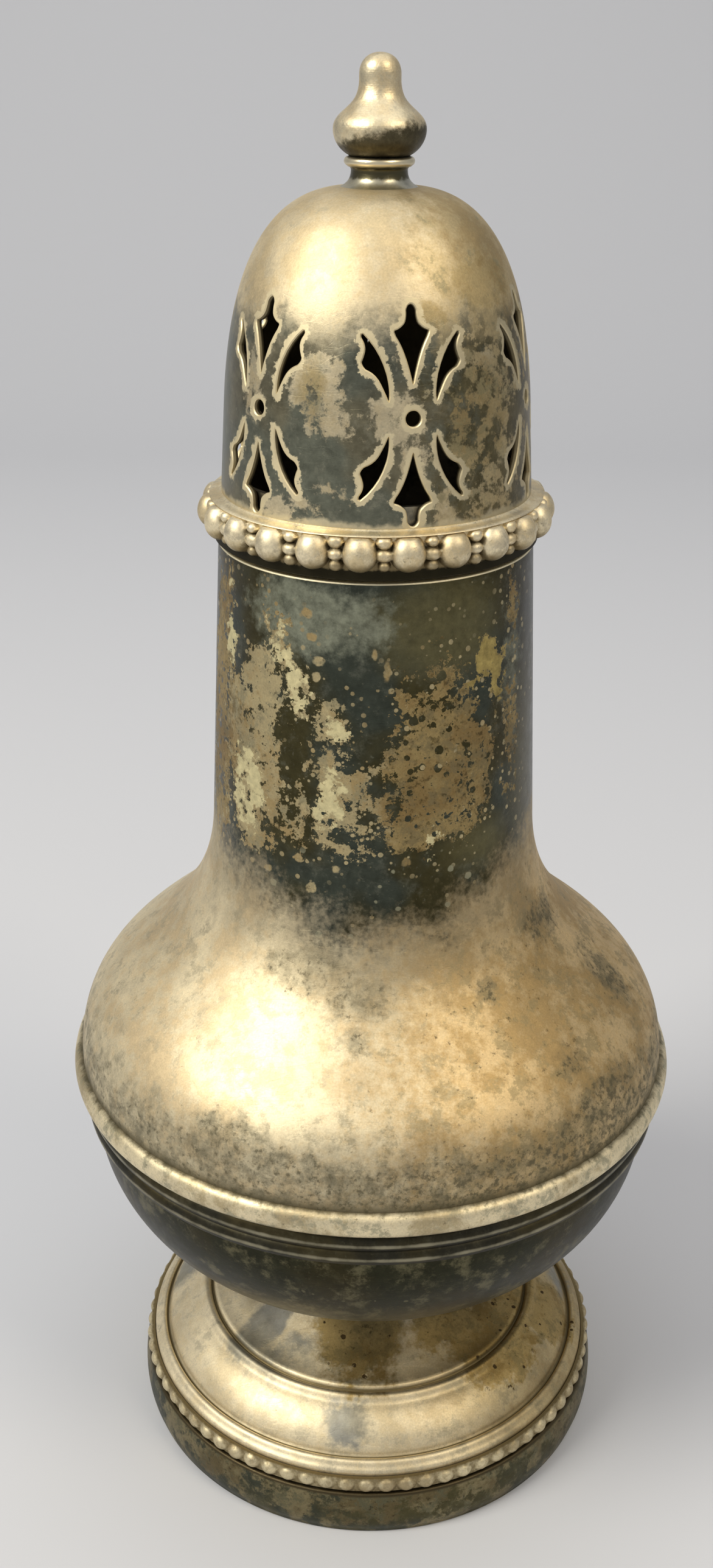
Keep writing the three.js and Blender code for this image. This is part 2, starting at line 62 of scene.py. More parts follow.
def arc(centre, radius, start, end, count):
    """Points centre + radius (cos a, sin a), with a from start to end in degrees."""
    a = np.radians(np.linspace(start, end, count))
    return np.column_stack([centre[0] + radius * np.cos(a), centre[1] + radius * np.sin(a)])


def studio_floor():
    """A sheet of points (y, z): flat to the front, then a quarter circle up, then straight up."""
    reach, bend, rise, half_width = 0.9, 0.35, 0.7, 1.5
    side = np.vstack([(-reach, 0), arc((reach - bend, bend), bend, -90, 0, 24), (reach, bend + rise)])
    count = len(side)
    mesh = bpy.data.meshes.new("studio_floor")
    mesh.from_pydata([(x, *place) for x in (-half_width, half_width) for place in side], [],
                     [(i, count + i, count + i + 1, i + 1) for i in range(count - 1)])
    mesh.shade_smooth()
    material, _, shader = new_material("pale_paper")
    shader.inputs["Base Color"].default_value = (0.56, 0.57, 0.6, 1)
    shader.inputs["Roughness"].default_value = 0.9
    mesh.materials.append(material)
    placed("studio_floor", mesh)


def soft_lamp(name, place, aim, size, watts, colour):
    """A square area lamp at a place, turned so that its -Z axis points at its aim."""
    data = bpy.data.lights.new(name, "AREA")
    data.size, data.energy, data.color = size, watts, colour
    lamp = placed(name, data)
    lamp.location = place
    lamp.rotation_euler = (Vector(aim) - Vector(place)).to_track_quat("-Z", "Y").to_euler()


def close_camera():
    """Turned by -yaw about the upright, by 90 degrees - pitch about its X axis, then rolled a little."""
    pitch, yaw, roll = math.radians(25.14), math.radians(-0.646), math.radians(0.302)
    stand = Matrix.Translation((0, -186 * MM, 181.4 * MM))
    for angle, axis in ((-yaw, "Z"), (math.pi / 2 - pitch, "X"), (roll, "Z")):
        stand = stand @ Matrix.Rotation(angle, 4, axis)
    data = bpy.data.cameras.new("photo_camera")
    data.sensor_fit, data.sensor_height, data.lens, data.clip_start = "VERTICAL", 36, 37.58, 0.01
    camera = placed("photo_camera", data)
    camera.matrix_world = stand
    bpy.context.scene.camera = camera


studio_floor()
belly = (0, 0, 80 * MM)
soft_lamp("key_lamp", (-0.6, -0.36, 0.77), belly, 0.44, 7.6, (1, 0.95, 0.84))
soft_lamp("second_lamp", (0.47, -0.4, 0.75), belly, 0.3, 2.5, (1, 0.88, 0.68))
soft_lamp("sky_lamp", (0, 0.1, 0.95), belly, 0.9, 2.2, (0.98, 0.99, 1))
world = bpy.data.worlds.new("studio_air")
world.use_nodes = True
world.node_tree.nodes["Background"].inputs["Color"].default_value = (0.4, 0.405, 0.42, 1)
bpy.context.scene.world = world
bpy.context.scene.view_settings.view_transform = "Standard"
close_camera()


# The foot's skirt: an upright band of sheet, a little full in the middle, with a small bead turned on
# its lower edge and a ledge inside its top that carries the dome and the beads. Its plate is browned.
def drawn(start, *runs):
    """An outline drawn on from its start P0. A run is its pulls P1.., its end Pn and a number of steps, for
    the sum of C(n, k) (1-t)^(n-k) t^k Pk over k, which is a straight line where it has no pulls."""
    points = [np.array(start, float)]
    for *ends, steps in runs:
        p, n = [points[-1], *np.array(ends, float)], len(ends)
        for t in np.linspace(0, 1, steps + 1)[1:]:
            points.append(sum(math.comb(n, k) * (1 - t) ** (n - k) * t**k * p[k] for k in range(n + 1)))
    return np.array(points)


def around(r, a, z):
    """Places (r sin a, -r cos a, z) in the scene, from r and z in mm."""
    return np.stack([r * np.sin(a), -r * np.cos(a), z], -1) * MM


def merged(mesh):
    """Joins points that lie on each other, such as those of a pole, and drops the faces that vanish."""
    shell = bmesh.new()
    shell.from_mesh(mesh)
    bmesh.ops.remove_doubles(shell, verts=shell.verts, dist=2e-7)
    bmesh.ops.dissolve_degenerate(shell, edges=shell.edges, dist=1e-8)
    shell.to_mesh(mesh)
    shell.free()


def mark_turn_and_height(mesh):
    """A map of (azimuth / 360 + 1/2, height / 180 mm), each face's corners counted from its own middle,
    so that no face is stretched over the seam at the back."""
    places = np.empty(len(mesh.vertices) * 3, np.float32)
    mesh.vertices.foreach_get("co", places)
    x, y, z = places.reshape(-1, 3).T
    vertex = np.empty(len(mesh.loops), np.int32)
    mesh.loops.foreach_get("vertex_index", vertex)
    corners = np.empty(len(mesh.polygons), np.int32)
    mesh.polygons.foreach_get("loop_total", corners)
    face = np.repeat(np.arange(len(corners)), corners)
    middle = [np.bincount(face, side[vertex]) / corners for side in (x, y)]
    centre = np.arctan2(middle[0], -middle[1])[face]
    turn = np.where(np.hypot(x, y)[vertex] > 1e-6, np.arctan2(x, -y)[vertex], centre)
    turn = centre + np.mod(turn - centre + math.pi, 2 * math.pi) - math.pi
    places = np.column_stack([turn / (2 * math.pi) + 0.5, z[vertex] / (180 * MM)])
    mesh.uv_layers.new(name="turn_and_height").uv.foreach_set("vector", places.ravel())


def piece(name, mesh, body, replaced, material, crease=40):
    """Puts a finished mesh into the scene on its body, in place of the CAD nodes that it stands for."""
    merged(mesh)
    mark_turn_and_height(mesh)
    mesh.shade_smooth()
    mesh.set_sharp_from_angle(angle=math.radians(crease))
    mesh.materials.append(material)
    made = placed(name, mesh)
    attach(made, body)
    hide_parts(*replaced)


def counterclockwise(points):
    """The closed outline, in the order in which its area sum(x dy - y dx) / 2 is above 0."""
    x, y = points.T
    area = np.sum(x * np.roll(y, -1) - np.roll(x, -1) * y)
    return points if area > 0 else points[::-1]


def turned(name, profile, body, replaced, material, columns=288, loop=True, relief=None, crease=40):
    """Surface of revolution of a profile of points (r, z) in mm, for which relief(a, r, z) gives a new r at
    azimuth a. loop closes the profile, which else ends on the axis."""
    profile = counterclockwise(profile)
    a, r = np.meshgrid(np.linspace(-math.pi, math.pi, columns, endpoint=False), profile[:, 0])
    z = np.broadcast_to(profile[:, 1][:, None], a.shape)
    if relief:
        r = relief(a, r, z)
    rows = len(profile)
    i = np.arange(rows if loop else rows - 1)[:, None]
    j = np.arange(columns)[None, :]
    up, on = (i + 1) % rows, (j + 1) % columns
    quads = np.stack(np.broadcast_arrays(
        i * columns + j, i * columns + on, up * columns + on, up * columns + j), -1)
    mesh = bpy.data.meshes.new(name)
    mesh.from_pydata(around(r, a, z).reshape(-1, 3), [], quads.reshape(-1, 4))
    piece(name, mesh, body, replaced, material, crease)


class Value:
    """A number, colour or place that varies over a surface: a node's output. Sums with it are nodes too."""

    def __init__(self, nodes, socket):
        """Keeps its socket, and the nodes that it is one of."""
        self.nodes, self.socket = nodes, socket

    def __getitem__(self, label):
        """Another output of the same node."""
        return Value(self.nodes, self.socket.node.outputs[label])

    def maths(self, operation, other=0.0):
        """This value and another, put together by one operation."""
        return self.nodes.put("Math", {0: self, 1: other}, operation=operation)

    def vector(self, operation, other=(0, 0, 0)):
        """The same for places, side by side in x, y and z."""
        return self.nodes.put("VectorMath", {0: self, 1: other}, operation=operation)

    __add__, __sub__ = partialmethod(maths, "ADD"), partialmethod(maths, "SUBTRACT")
    __mul__, __truediv__ = partialmethod(maths, "MULTIPLY"), partialmethod(maths, "DIVIDE")
    larger, smaller = partialmethod(maths, "MAXIMUM"), partialmethod(maths, "MINIMUM")
    __abs__ = partialmethod(maths, "ABSOLUTE")

    def uneven(self, reach, size, detail=4, roughness=0.55):
        """This value, more or less by up to a reach, after noise with lumps about size mm wide."""
        return self + self.nodes.cloud(size, detail, roughness).between(-reach, reach)

    def rise(self, low, high):
        """Smooth step: 0 under low and 1 over high, or the other way round where low is the larger."""
        ends = {"Value": self, "From Min": low, "From Max": high}
        return self.nodes.put("MapRange", ends, interpolation_type="SMOOTHSTEP")

    def between(self, low, high):
        """This value taken from 0..1 to low..high."""
        return self.nodes.put("MapRange", {"Value": self, "To Min": low, "To Max": high})

    def tint(self, first, last):
        """The colour (1 - share) first + share last, with this value as the share."""
        return self.nodes.put("Mix", {0: self, 6: first, 7: last}, 2, data_type="RGBA")

    def blend(self, first, last):
        """The value (1 - share) first + share last, with this value as the share."""
        return self.nodes.put("Mix", {0: self, 2: first, 3: last}, data_type="FLOAT")

    def of(self, colour):
        """A colour times this value."""
        return self.nodes.put("VectorMath", {0: colour, "Scale": self}, operation="SCALE")


class Nodes:
    """The nodes of one effect or material, and the place on the surface that its noises read."""

    def __init__(self, tree):
        """Starts without a place, because that is one of the tree's own values."""
        self.tree, self.place = tree, None

    def put(self, kind, inputs=None, output=0, **settings):
        """Adds a node, makes its settings, links or sets its inputs, and gives back one of its outputs."""
        node = self.tree.nodes.new("ShaderNode" + kind)
        for key, setting in settings.items():
            setattr(node, key, setting)
        for key, given in (inputs or {}).items():
            if isinstance(given, Value):
                self.tree.links.new(given.socket, node.inputs[key])
            else:
                is_colour = node.inputs[key].type == "RGBA"
                node.inputs[key].default_value = (*given, 1) if is_colour else given
        return Value(self, node.outputs[output])

    def use(self, group, **inputs):
        """Places an effect with its own values, at the place that these nodes read."""
        return self.put("Group", {"Vector": self.place, **inputs}, node_tree=group)

    def cloud(self, size, detail=4, roughness=0.55, place=None):
        """Fractal noise about 1/2, with lumps about size mm wide."""
        return self.put("TexNoise", {
            "Vector": place or self.place, "Scale": 1 / (size * MM),
            "Detail": detail, "Roughness": roughness})


def effect(takes, gives):
    """Makes a node group of a function that works out its outputs from its inputs. Both are named, and are
    colours or places where their names say so here, or else plain values."""
    kinds = {"Color": "Pale Brown Grey Blue Olive Mist Color", "Vector": "Vector Place Middle Half"}

    def built(make):
        """The group, whose first input is the place that its noises read."""
        tree = bpy.data.node_groups.new(make.__name__, "ShaderNodeTree")
        for way, labels in (("INPUT", "Vector " + takes), ("OUTPUT", gives)):
            for label in labels.split():
                kind = next((kind for kind, names in kinds.items() if label in names.split()), "Float")
                tree.interface.new_socket(name=label, in_out=way, socket_type="NodeSocket" + kind)
        nodes = Nodes(tree)
        nodes.place = taken = Value(nodes, tree.nodes.new("NodeGroupInput").outputs[0])
        given = tree.nodes.new("NodeGroupOutput").inputs
        for label, value in zip(gives.split(), make(nodes, taken)):
            tree.links.new(value.socket, given[label])
        return tree
    return built


@effect("Pale Brown Grey Grime", "Color Roughness Height")
def mottled_plate(nodes, taken):
    """Worn plate: Pale turns Brown where c9 + c1.7 is high, Grey where c2.8 is high, and is flecked with
    dark specks where c0.8 + Grime / 6 is high. cN is noise with lumps N mm wide."""
    fine, grain = nodes.cloud(1.7, 7, 0.72), nodes.cloud(0.22, 2)
    colour = (fine * 0.9 + nodes.cloud(9, 3)).rise(0.86, 1.1).tint(taken["Pale"], taken["Brown"])
    grey = (taken["Grime"] * 0.05 + nodes.cloud(2.8, 8, 0.76)).rise(0.51, 0.61) * 0.7
    dirty = (taken["Grime"] * 0.16 + nodes.cloud(0.8, 5, 0.7)).rise(0.62, 0.74)
    colour = dirty.between(1.0, 0.5).of(grey.tint(colour, taken["Grey"]))
    dust = grain.between(0.6, 1.02) + fine.between(-0.2, 0.56)
    height = dirty * 0.006 + grain.between(0, 0.006) + fine.between(0, 0.014)
    return dust.of(colour), fine.between(0.4, 0.6) + dirty.between(0, 0.1), height


@effect("Blue Olive Mist", "Color Roughness Height")
def tarnish_film(nodes, taken):
    """Tarnish: Blue turns Olive where c11 is high, is darkened by c1.5, misted where c2.4 is high and
    flecked with Mist where c0.6 is high."""
    fine = nodes.cloud(1.5, 6, 0.65)
    colour = nodes.cloud(11, 3).rise(0.42, 0.6).tint(taken["Blue"], taken["Olive"])
    mist = nodes.cloud(2.4, 8, 0.78).rise(0.5, 0.7) * 0.35
    flecks = nodes.cloud(0.6, 4, 0.65).rise(0.62, 0.7) * 0.35
    colour = mist.larger(flecks).tint(fine.between(0.35, 1.65).of(colour), taken["Mist"])
    return colour, fine.between(0.2, 0.45), fine.between(0, 0.008)


@effect("Spacing Size Share", "Mask")
def round_spots(nodes, taken):
    """1 inside round spots of several sizes: distance to a scattered point, plus noise, under Size times
    the cell's own random value, in the Share of the cells that have a spot."""
    scale = nodes.put("Math", {0: 1 / MM, 1: taken["Spacing"]}, operation="DIVIDE")
    away = nodes.put("TexVoronoi", {"Vector": nodes.place, "Scale": scale})
    random = nodes.put("SeparateColor", {"Color": away["Color"]})
    radius = taken["Size"] * random.between(0.35, 1)
    inside = (radius - away.uneven(0.1, 0.6, 3)).rise(0, 0.06)
    return [inside * random[1].maths("LESS_THAN", taken["Share"])]


@effect("", "Height")
def hand_wear(nodes, _):
    """Height in mm of what use leaves on spun sheet: waves of 7 mm, and thin scratches where noise that is
    stretched in one direction lies within a hair of 1/2."""
    height = nodes.cloud(7, 2).between(0, 0.09)
    for turn, depth in ((0.6, 0.004), (-0.9, 0.003), (2.2, 0.003)):
        laid = nodes.put("Mapping", {
            "Vector": nodes.place, "Rotation": (turn, turn * 2, turn), "Scale": (0.12, 1, 1)})
        height = height - abs(nodes.cloud(1.7, 1, place=laid) - 0.5).rise(0.006, 0) * depth
    return [height]


class Skin(Nodes):
    """The nodes of one piece's metal, which read its Object coordinates."""

    def __init__(self, name):
        """Makes the material of that name."""
        self.material, tree, self.shader = new_material(name)
        super().__init__(tree)
        self.place = self.put("TexCoord", output="Object")

    @cached_property
    def r(self):
        """The distance of a point from the axis in mm."""
        return self.place.vector("MULTIPLY", (1, 1, 0)).vector("LENGTH")["Value"] / MM

    @cached_property
    def z(self):
        """The height of a point in mm."""
        return self.put("SeparateXYZ", {0: self.place})[2] / MM

    def plate(self, pale, brown, grey, grime):
        """The colour of mottled plate, which has a Roughness and a Height too."""
        return self.use(mottled_plate, Pale=pale, Brown=brown, Grey=grey, Grime=grime)

    def film(self, blue, olive, mist):
        """The colour of a film of tarnish, which has them too."""
        return self.use(tarnish_film, Blue=blue, Olive=olive, Mist=mist)

    def handled(self, plate):
        """The height of a plate or film, and what use has left on it."""
        return plate["Height"] + self.use(hand_wear)

    def finished(self, colour, roughness, height):
        """Metal with a colour, a roughness and a height in mm that vary over the surface."""
        self.shader.inputs["Metallic"].default_value = 1
        normal = self.put("Bump", {"Height": height, "Distance": MM})
        for label, value in (("Base Color", colour), ("Roughness", roughness), ("Normal", normal)):
            self.tree.links.new(value.socket, self.shader.inputs[label])
        return self.material


def skirt_plate():
    """Olive film, with browned plate where c4 - z / 45 is low, and painted shade under the beads, above the
    upper edge's turn.
    """
    skin = Skin("browned_skirt_plate")
    plate = skin.plate((0.25, 0.21, 0.115), (0.14, 0.11, 0.055), (0.12, 0.12, 0.075), 0.5)
    film = skin.film((0.06, 0.064, 0.045), (0.085, 0.075, 0.035), (0.22, 0.2, 0.12))
    colour = (skin.z * -0.022 + skin.cloud(4, 8, 0.7)).rise(0.38, 0.47).tint(plate, film)
    # painted shade: a near-black band on the skirt's top, under the overhanging beads
    colour = skin.z.rise(6.2, 6.5).tint(colour, (0.07, 0.055, 0.03))
    return skin.finished(colour, skin.cloud(2).between(0.35, 0.6), skin.handled(plate))


foot_rest_r, foot_full_r, skirt_top = 32.1, 32.68, 6.7
skirt_wall, skirt_ledge, ledge_z = 1.1, 2.2, 5.8
turned("foot_skirt_band", np.vstack([
    arc((foot_rest_r - 0.35, 0.35), 0.35, -90, 0, 6),
    drawn((foot_rest_r + 0.12, 0.8),
          ((foot_full_r + 0.1, 1.8), (foot_full_r, 4.6), (foot_rest_r + 0.15, 6.2), 13)),
    arc((foot_rest_r - 0.3, skirt_top - 0.35), 0.35, 30, 90, 5),
    drawn((foot_rest_r - skirt_ledge, skirt_top), ((foot_rest_r - skirt_ledge, ledge_z), 1),
          ((foot_rest_r - skirt_wall, ledge_z), 1), ((foot_rest_r - skirt_wall, 0), 2)),
]), "body", ["foot_skirt"], skirt_plate())

# The foot's beads: a run of small round beads, stamped in a strip that is soldered on the skirt's top.
# Their crests are rubbed bright and the hollows between them are darker brown.
foot_bead_count, foot_bead_r, foot_bead_z, foot_bead_width, foot_bead_wear = 75, 1.22, 7.95, 0.86, 0.09
bead_bed_r, bead_back_r, bead_bottom, bead_top, bead_crest_r = 31.7, 31.2, 6.95, 9.05, 32.36


def from_nearest(a, pitch):
    """The turn from the nearest of the places 0, pitch, 2 pitch ... to a."""
    return np.mod(a + pitch / 2, pitch) - pitch / 2


def bulged(r, base, depth, w, h):
    """max(r, base + depth sqrt(1 - w^2 - h^2)), with w and h in parts of a bead's half width and height."""
    inside = 1 - w**2 - h**2
    return np.where(inside > 0, np.maximum(r, base + depth * np.sqrt(np.maximum(inside, 0))), r)


def foot_bead_relief(a, r, z):
    """Bulged by the nearest bead, bead i of which stands lower by its wear, 0.09 (1 + sin 37 i) mm."""
    pitch = 2 * math.pi / foot_bead_count
    wear = foot_bead_wear * (1 + np.sin(37 * np.floor(a / pitch + 0.5)))
    w = from_nearest(a, pitch) * (bead_crest_r - foot_bead_r / 3) * foot_bead_width
    swollen = bulged(r, bead_crest_r - wear - foot_bead_r, foot_bead_r, w / foot_bead_r,
                     (z - foot_bead_z) / foot_bead_r)
    return np.where(r > bead_back_r + 0.1, swollen, r)


def bead_plate():
    """Plate rubbed pale on the crests, darker brown where the radius is nearer to the bed than the crest."""
    skin = Skin("rubbed_bead_plate")
    plate = skin.plate((0.7, 0.61, 0.4), (0.42, 0.34, 0.2), (0.42, 0.34, 0.2), 0.2)
    low = skin.r.uneven(0.35, 0.6, 5).rise(bead_crest_r - 0.3, bead_bed_r - 0.25)
    colour = low.tint(plate, (0.23, 0.18, 0.09))
    return skin.finished(colour, low.blend(plate["Roughness"], 0.65), plate["Height"])


turned("foot_bead_run", drawn(
    (bead_bed_r, bead_bottom), ((bead_bed_r, bead_top), 18), ((bead_back_r, bead_top), 1),
    ((bead_back_r, bead_bottom), 1)), "body", ["foot_beads"], bead_plate(),
    columns=foot_bead_count * 14, relief=foot_bead_relief)

# The domed foot: spun in one piece from the hollow stem down, with a step and a groove, a cushion,
# another groove and a rolled moulding that meets the beads. The plate is polished, and worn on the stem.
stem_r, stem_top, foot_wall, foot_place_r = 12.4, 28.1, 0.8, 25
foot_groove_rs = (22.66, 29.3)
foot_outer = drawn(
    (stem_r - 3, stem_top), ((stem_r, stem_top), 2), ((12.6, 20.6), (17.4, 16.5), (22.2, 15.75), 39),
    ((22.45, 15.6), (22.5, 15.2), (22.72, 15.15), 5), ((22.95, 15.2), (23.1, 15.75), (23.6, 15.72), 7),
    ((24.2, 15.68), (24.2, 15.02), (24.8, 14.75), 9), ((26.4, 14.05), (28, 12.6), (28.85, 10.85), 17),
    ((28.95, 10.55), (29.1, 10.25), (29.3, 10.25), 5), ((29.5, 10.3), (29.5, 10.72), (29.95, 10.66), 7),
    ((30.4, 10.58), (30.4, 10.2), (30.75, 9.9), 7), ((31, 9.7), (31.1, 9.5), (31.1, 9.1), 5), ((31.1, 7), 3))
foot_inner = drawn(
    (stem_r - 3, stem_top - foot_wall), ((stem_r - foot_wall, stem_top - foot_wall), 2),
    ((11.8, 20), (16.6, 15.7), (21.4, 14.6), 23), ((24, 14.2), (27, 12.4), (28.1, 10), 15),
    ((30.3, 8.6), 3), ((30.3, 7), 2))


@effect("Depth Most Strength", "Depth")
def ragged_depth(nodes, taken):
    """min(Depth, Most) + Strength (c1.9 - 1/2): a smooth depth turned ragged, with holes and islands."""
    noise = nodes.cloud(1.9, 8, 0.68) - 0.5
    return [noise * taken["Strength"] + taken["Depth"].smaller(taken["Most"])]


@effect("Middle Half", "Depth")
def placed_patch(nodes, taken):
    """(1 - |(P - M) / S|) min(S): above 0 inside the ellipse about Middle M with half sizes S."""
    apart = nodes.place.vector("SUBTRACT", taken["Middle"]).vector("DIVIDE", taken["Half"])
    half = nodes.put("SeparateXYZ", {0: taken["Half"]})
    return [(apart.vector("LENGTH")["Value"] * -1.0 + 1.0) * half.smaller(half[1])]


@effect("Place Reach", "Place")
def ragged_place(nodes, taken):
    """Place + 2 Reach (c2.6 - 1/2) + 0.9 Reach (c0.6 - 1/2), so that round patches get ragged edges."""
    place = taken["Place"]
    for size, share in ((2.6, 2.0), (0.6, 0.9)):
        off = nodes.cloud(size, 3, 0.6)["Color"].vector("SUBTRACT", (0.5, 0.5, 0.5))
        place = place.vector("ADD", (taken["Reach"] * share).of(off).vector("MULTIPLY", (1, 1, 0)))
    return [place]


class SpreadSkin(Skin):
    """A metal with patches: side is how far right of the middle a point lies, and spread is its place on the
    unrolled surface, both in mm."""

    def __init__(self, name, radius, reach):
        """side = radius sin a, without a jump at the back, and spread = (radius a, z), moved by noise."""
        super().__init__(name)
        self.radius, girth = radius, 2 * math.pi * radius
        outward = self.place.vector("MULTIPLY", (1, 1, 0)).vector("NORMALIZE")
        self.side = self.put("SeparateXYZ", {0: outward}) * radius
        flat = self.put("UVMap", uv_map="turn_and_height").vector("MULTIPLY", (girth, 180, 0))
        self.spread = self.use(ragged_place, Place=flat.vector("ADD", (-girth / 2, 0, 0)), Reach=reach)

    def patches(self, spots):
        """How deep a point lies in the deepest of some patches, in mm. A patch is the azimuth in degrees and
        the height in mm of its middle, then half its width in degrees and half its height in mm."""
        depth = -9.0
        for azimuth, height, half_turn, half_height in spots:
            arcs = np.radians([azimuth, half_turn]) * self.radius
            depth = self.use(placed_patch, Vector=self.spread, Middle=(arcs[0], height, 0),
                             Half=(arcs[1], half_height, 1)).larger(depth)
        return depth

    def frayed(self, depth, most, strength):
        """The depth turned ragged."""
        return self.use(ragged_depth, Depth=depth, Most=most, Strength=strength)


def foot_plate():
    """Champagne plate, browner to the right and in patches, with grey clouds, painted shade on the stem
    under the bowl, and dark grooves.
    """
    skin = SpreadSkin("champagne_foot_plate", foot_place_r, 1.6)
    to_right = skin.side.uneven(8, 4, 7, 0.7).rise(2, 19)
    plate = skin.plate((0.79, 0.69, 0.48), (0.64, 0.54, 0.35), (0.54, 0.48, 0.34), -0.2)
    brown = skin.plate((0.42, 0.31, 0.13), (0.26, 0.18, 0.065), (0.24, 0.19, 0.085), 0.3)
    film = skin.film((0.25, 0.26, 0.25), (0.25, 0.24, 0.19), (0.46, 0.43, 0.34))
    browned = skin.frayed(skin.patches([
        (52, 15.5, 21, 3.2), (78, 14, 14, 4), (-4, 20, 24, 4.6), (39, 18.5, 22, 2.6), (112, 15, 18, 3),
        (-138, 16, 22, 5), (142, 12.5, 16, 2)]), 1.2, 3.0)
    clouded = skin.patches([
        (-6, 13.3, 6.5, 2.2), (-38, 15.6, 10, 0.9), (-49, 18, 9, 3.5), (-30, 17, 8, 1), (-100, 13, 12, 2.2),
        (96, 12.2, 9, 1.4), (-128, 17, 14, 3), (152, 17, 9, 1.5)])
    is_brown = browned.rise(-0.6, 0.9).larger(to_right * 0.7)
    colour = is_brown.tint(plate, brown)
    colour = (clouded.rise(-0.4, 0.9) * 0.8).tint(colour, film)
    # painted shade: the stem, under the bowl, darkened towards the axis
    colour = skin.r.rise(20.5, 17.5).between(1.0, 0.55).of(colour)
    pitted = skin.use(round_spots, Spacing=1.5, Size=0.3, Share=0.4) * browned.rise(0, 0.5)
    colour = pitted.tint(colour, (0.08, 0.055, 0.025))
    for groove_r in foot_groove_rs:
        colour = abs(skin.r - groove_r).rise(0.3, 0.08).tint(colour, (0.14, 0.11, 0.055))
    roughness = pitted * 0.2 + plate["Roughness"] + 0.03
    return skin.finished(colour, roughness, pitted * -0.04 + skin.handled(plate))


turned("domed_foot", np.vstack([foot_outer, foot_inner[::-1]]), "body", ["foot_dome"],
       foot_plate())

# The bowl: the lower half of the belly, spun in one piece and soldered into the shoulder's rim. Under the
# girdle it is hardly ever rubbed, and has gone nearly black.
bowl_wall, bowl_top, bowl_floor, bowl_floor_r, floor_steps = 0.9, 54.4, 28.4, 12.4, 5


def beside(points, distance):
    """Each point moved by a distance to the left of the way that the outline runs there."""
    along = np.gradient(points, axis=0)
    along /= np.linalg.norm(along, axis=1)[:, None] + 1e-12
    return points + distance * np.column_stack([-along[:, 1], along[:, 0]])


bowl_skin = drawn(
    (0, bowl_floor), ((bowl_floor_r, bowl_floor), floor_steps),
    ((28.5, bowl_floor), (37.1, 39.1), (37.1, 49.8), 47), ((37.5, bowl_top), 3))
bowl_inside = beside(bowl_skin, bowl_wall)[floor_steps + 1:]
bowl_inside[-1, 1] = bowl_top


def dark_plate(name, blue, olive, mist, worn, worn_from, worn_to):
    """Tarnish with faint worn clouds where c5 is high, and a few small pale spots."""
    skin = Skin(name)
    film = skin.film(blue, olive, mist)
    colour = (skin.cloud(5, 8, 0.74).rise(worn_from, worn_to) * 0.6).tint(film, worn)
    spots = skin.use(round_spots, Spacing=2.4, Size=0.16, Share=0.35) * 0.5
    return skin.finished(spots.tint(colour, worn), film["Roughness"] + 0.08, skin.handled(film))


turned("lower_bowl_shell", np.vstack([
    bowl_skin, bowl_inside[::-1],
    drawn((bowl_floor_r, bowl_floor + bowl_wall), ((0, bowl_floor + bowl_wall), floor_steps)),
]), "body", ["lower_bowl"],
    dark_plate("dark_bowl_plate", (0.026, 0.026, 0.014), (0.036, 0.03, 0.013), (0.11, 0.1, 0.055),
               (0.19, 0.17, 0.095), 0.5, 0.64), loop=False)

# The reeded band: two fine reeds rolled in a strip, which is soldered round the bowl under the girdle.
# Only the crests of the reeds are rubbed to a pale line.
reed_bottom, reed_top, reed_count, reed_back_r, reed_lean, reed_depth = 50.0, 54.3, 2, 37.45, 0.087, 0.5


def reed_skin():
    """r = back + lean (z - bottom) + depth |sin(pi n s)|^0.8, s from 0 to 1 up the strip, n reeds."""
    s = np.linspace(0, 1, 41)
    z = reed_bottom + (reed_top - reed_bottom) * s
    back = reed_back_r + (z - reed_bottom) * reed_lean
    return np.column_stack([back + 0.12 + reed_depth * np.abs(np.sin(math.pi * reed_count * s)) ** 0.8, z])


def reed_plate():
    """Dark plate with a pale worn line where |sin(pi n s)| is near 1."""
    skin = Skin("reeded_dark_plate")
    film = skin.film((0.035, 0.033, 0.024), (0.055, 0.046, 0.024), (0.12, 0.11, 0.07))
    reed = (skin.z - reed_bottom) / ((reed_top - reed_bottom) / reed_count)
    wave = abs((reed * math.pi).maths("SINE"))
    colour = wave.uneven(0.16, 3, 5).rise(0.88, 1.06).tint(film, (0.3, 0.275, 0.19))
    return skin.finished(colour, film["Roughness"] + 0.15, film["Height"])


turned("reeded_strip", np.vstack([reed_skin(), drawn((37.8, reed_top), ((37.42, reed_bottom), 2))]),
       "body", ["reeded_band"], reed_plate())

# The girdle: a half-round wire that covers the seam of bowl and shoulder, the widest place of the body.
# It is rubbed pale all round, with smudges, and has painted shade along both its edges.
girdle_r, girdle_back_r, girdle_z, girdle_half = 39.5, 37.9, 56.6, 1.75


def girdle_plate():
    """Pale plate, with painted shade where the height is near the wire's edges, smudged where c3 is high."""
    skin = Skin("rubbed_girdle_plate")
    plate = skin.plate((0.78, 0.68, 0.46), (0.46, 0.38, 0.23), (0.34, 0.32, 0.22), 0.2)
    # painted shade along the wire's upper and lower edges, where it meets the body
    dark = abs(skin.z - (girdle_z + 0.15)).uneven(0.4, 1.4, 6, 0.7).rise(1.1, 1.7)
    return skin.finished(dark.tint(plate, (0.12, 0.1, 0.055)), plate["Roughness"], skin.handled(plate))


girdle_turns = np.radians(np.linspace(-88, 88, 25))
turned("girdle_ring", np.vstack([
    np.column_stack([girdle_back_r + (girdle_r - girdle_back_r) * np.cos(girdle_turns) ** 0.8,
                     girdle_z + girdle_half * np.sin(girdle_turns)]),
    drawn((girdle_back_r, girdle_z + girdle_half), ((girdle_back_r, girdle_z - girdle_half), 2)),
]), "body", ["girdle_wire"], girdle_plate(), columns=360)

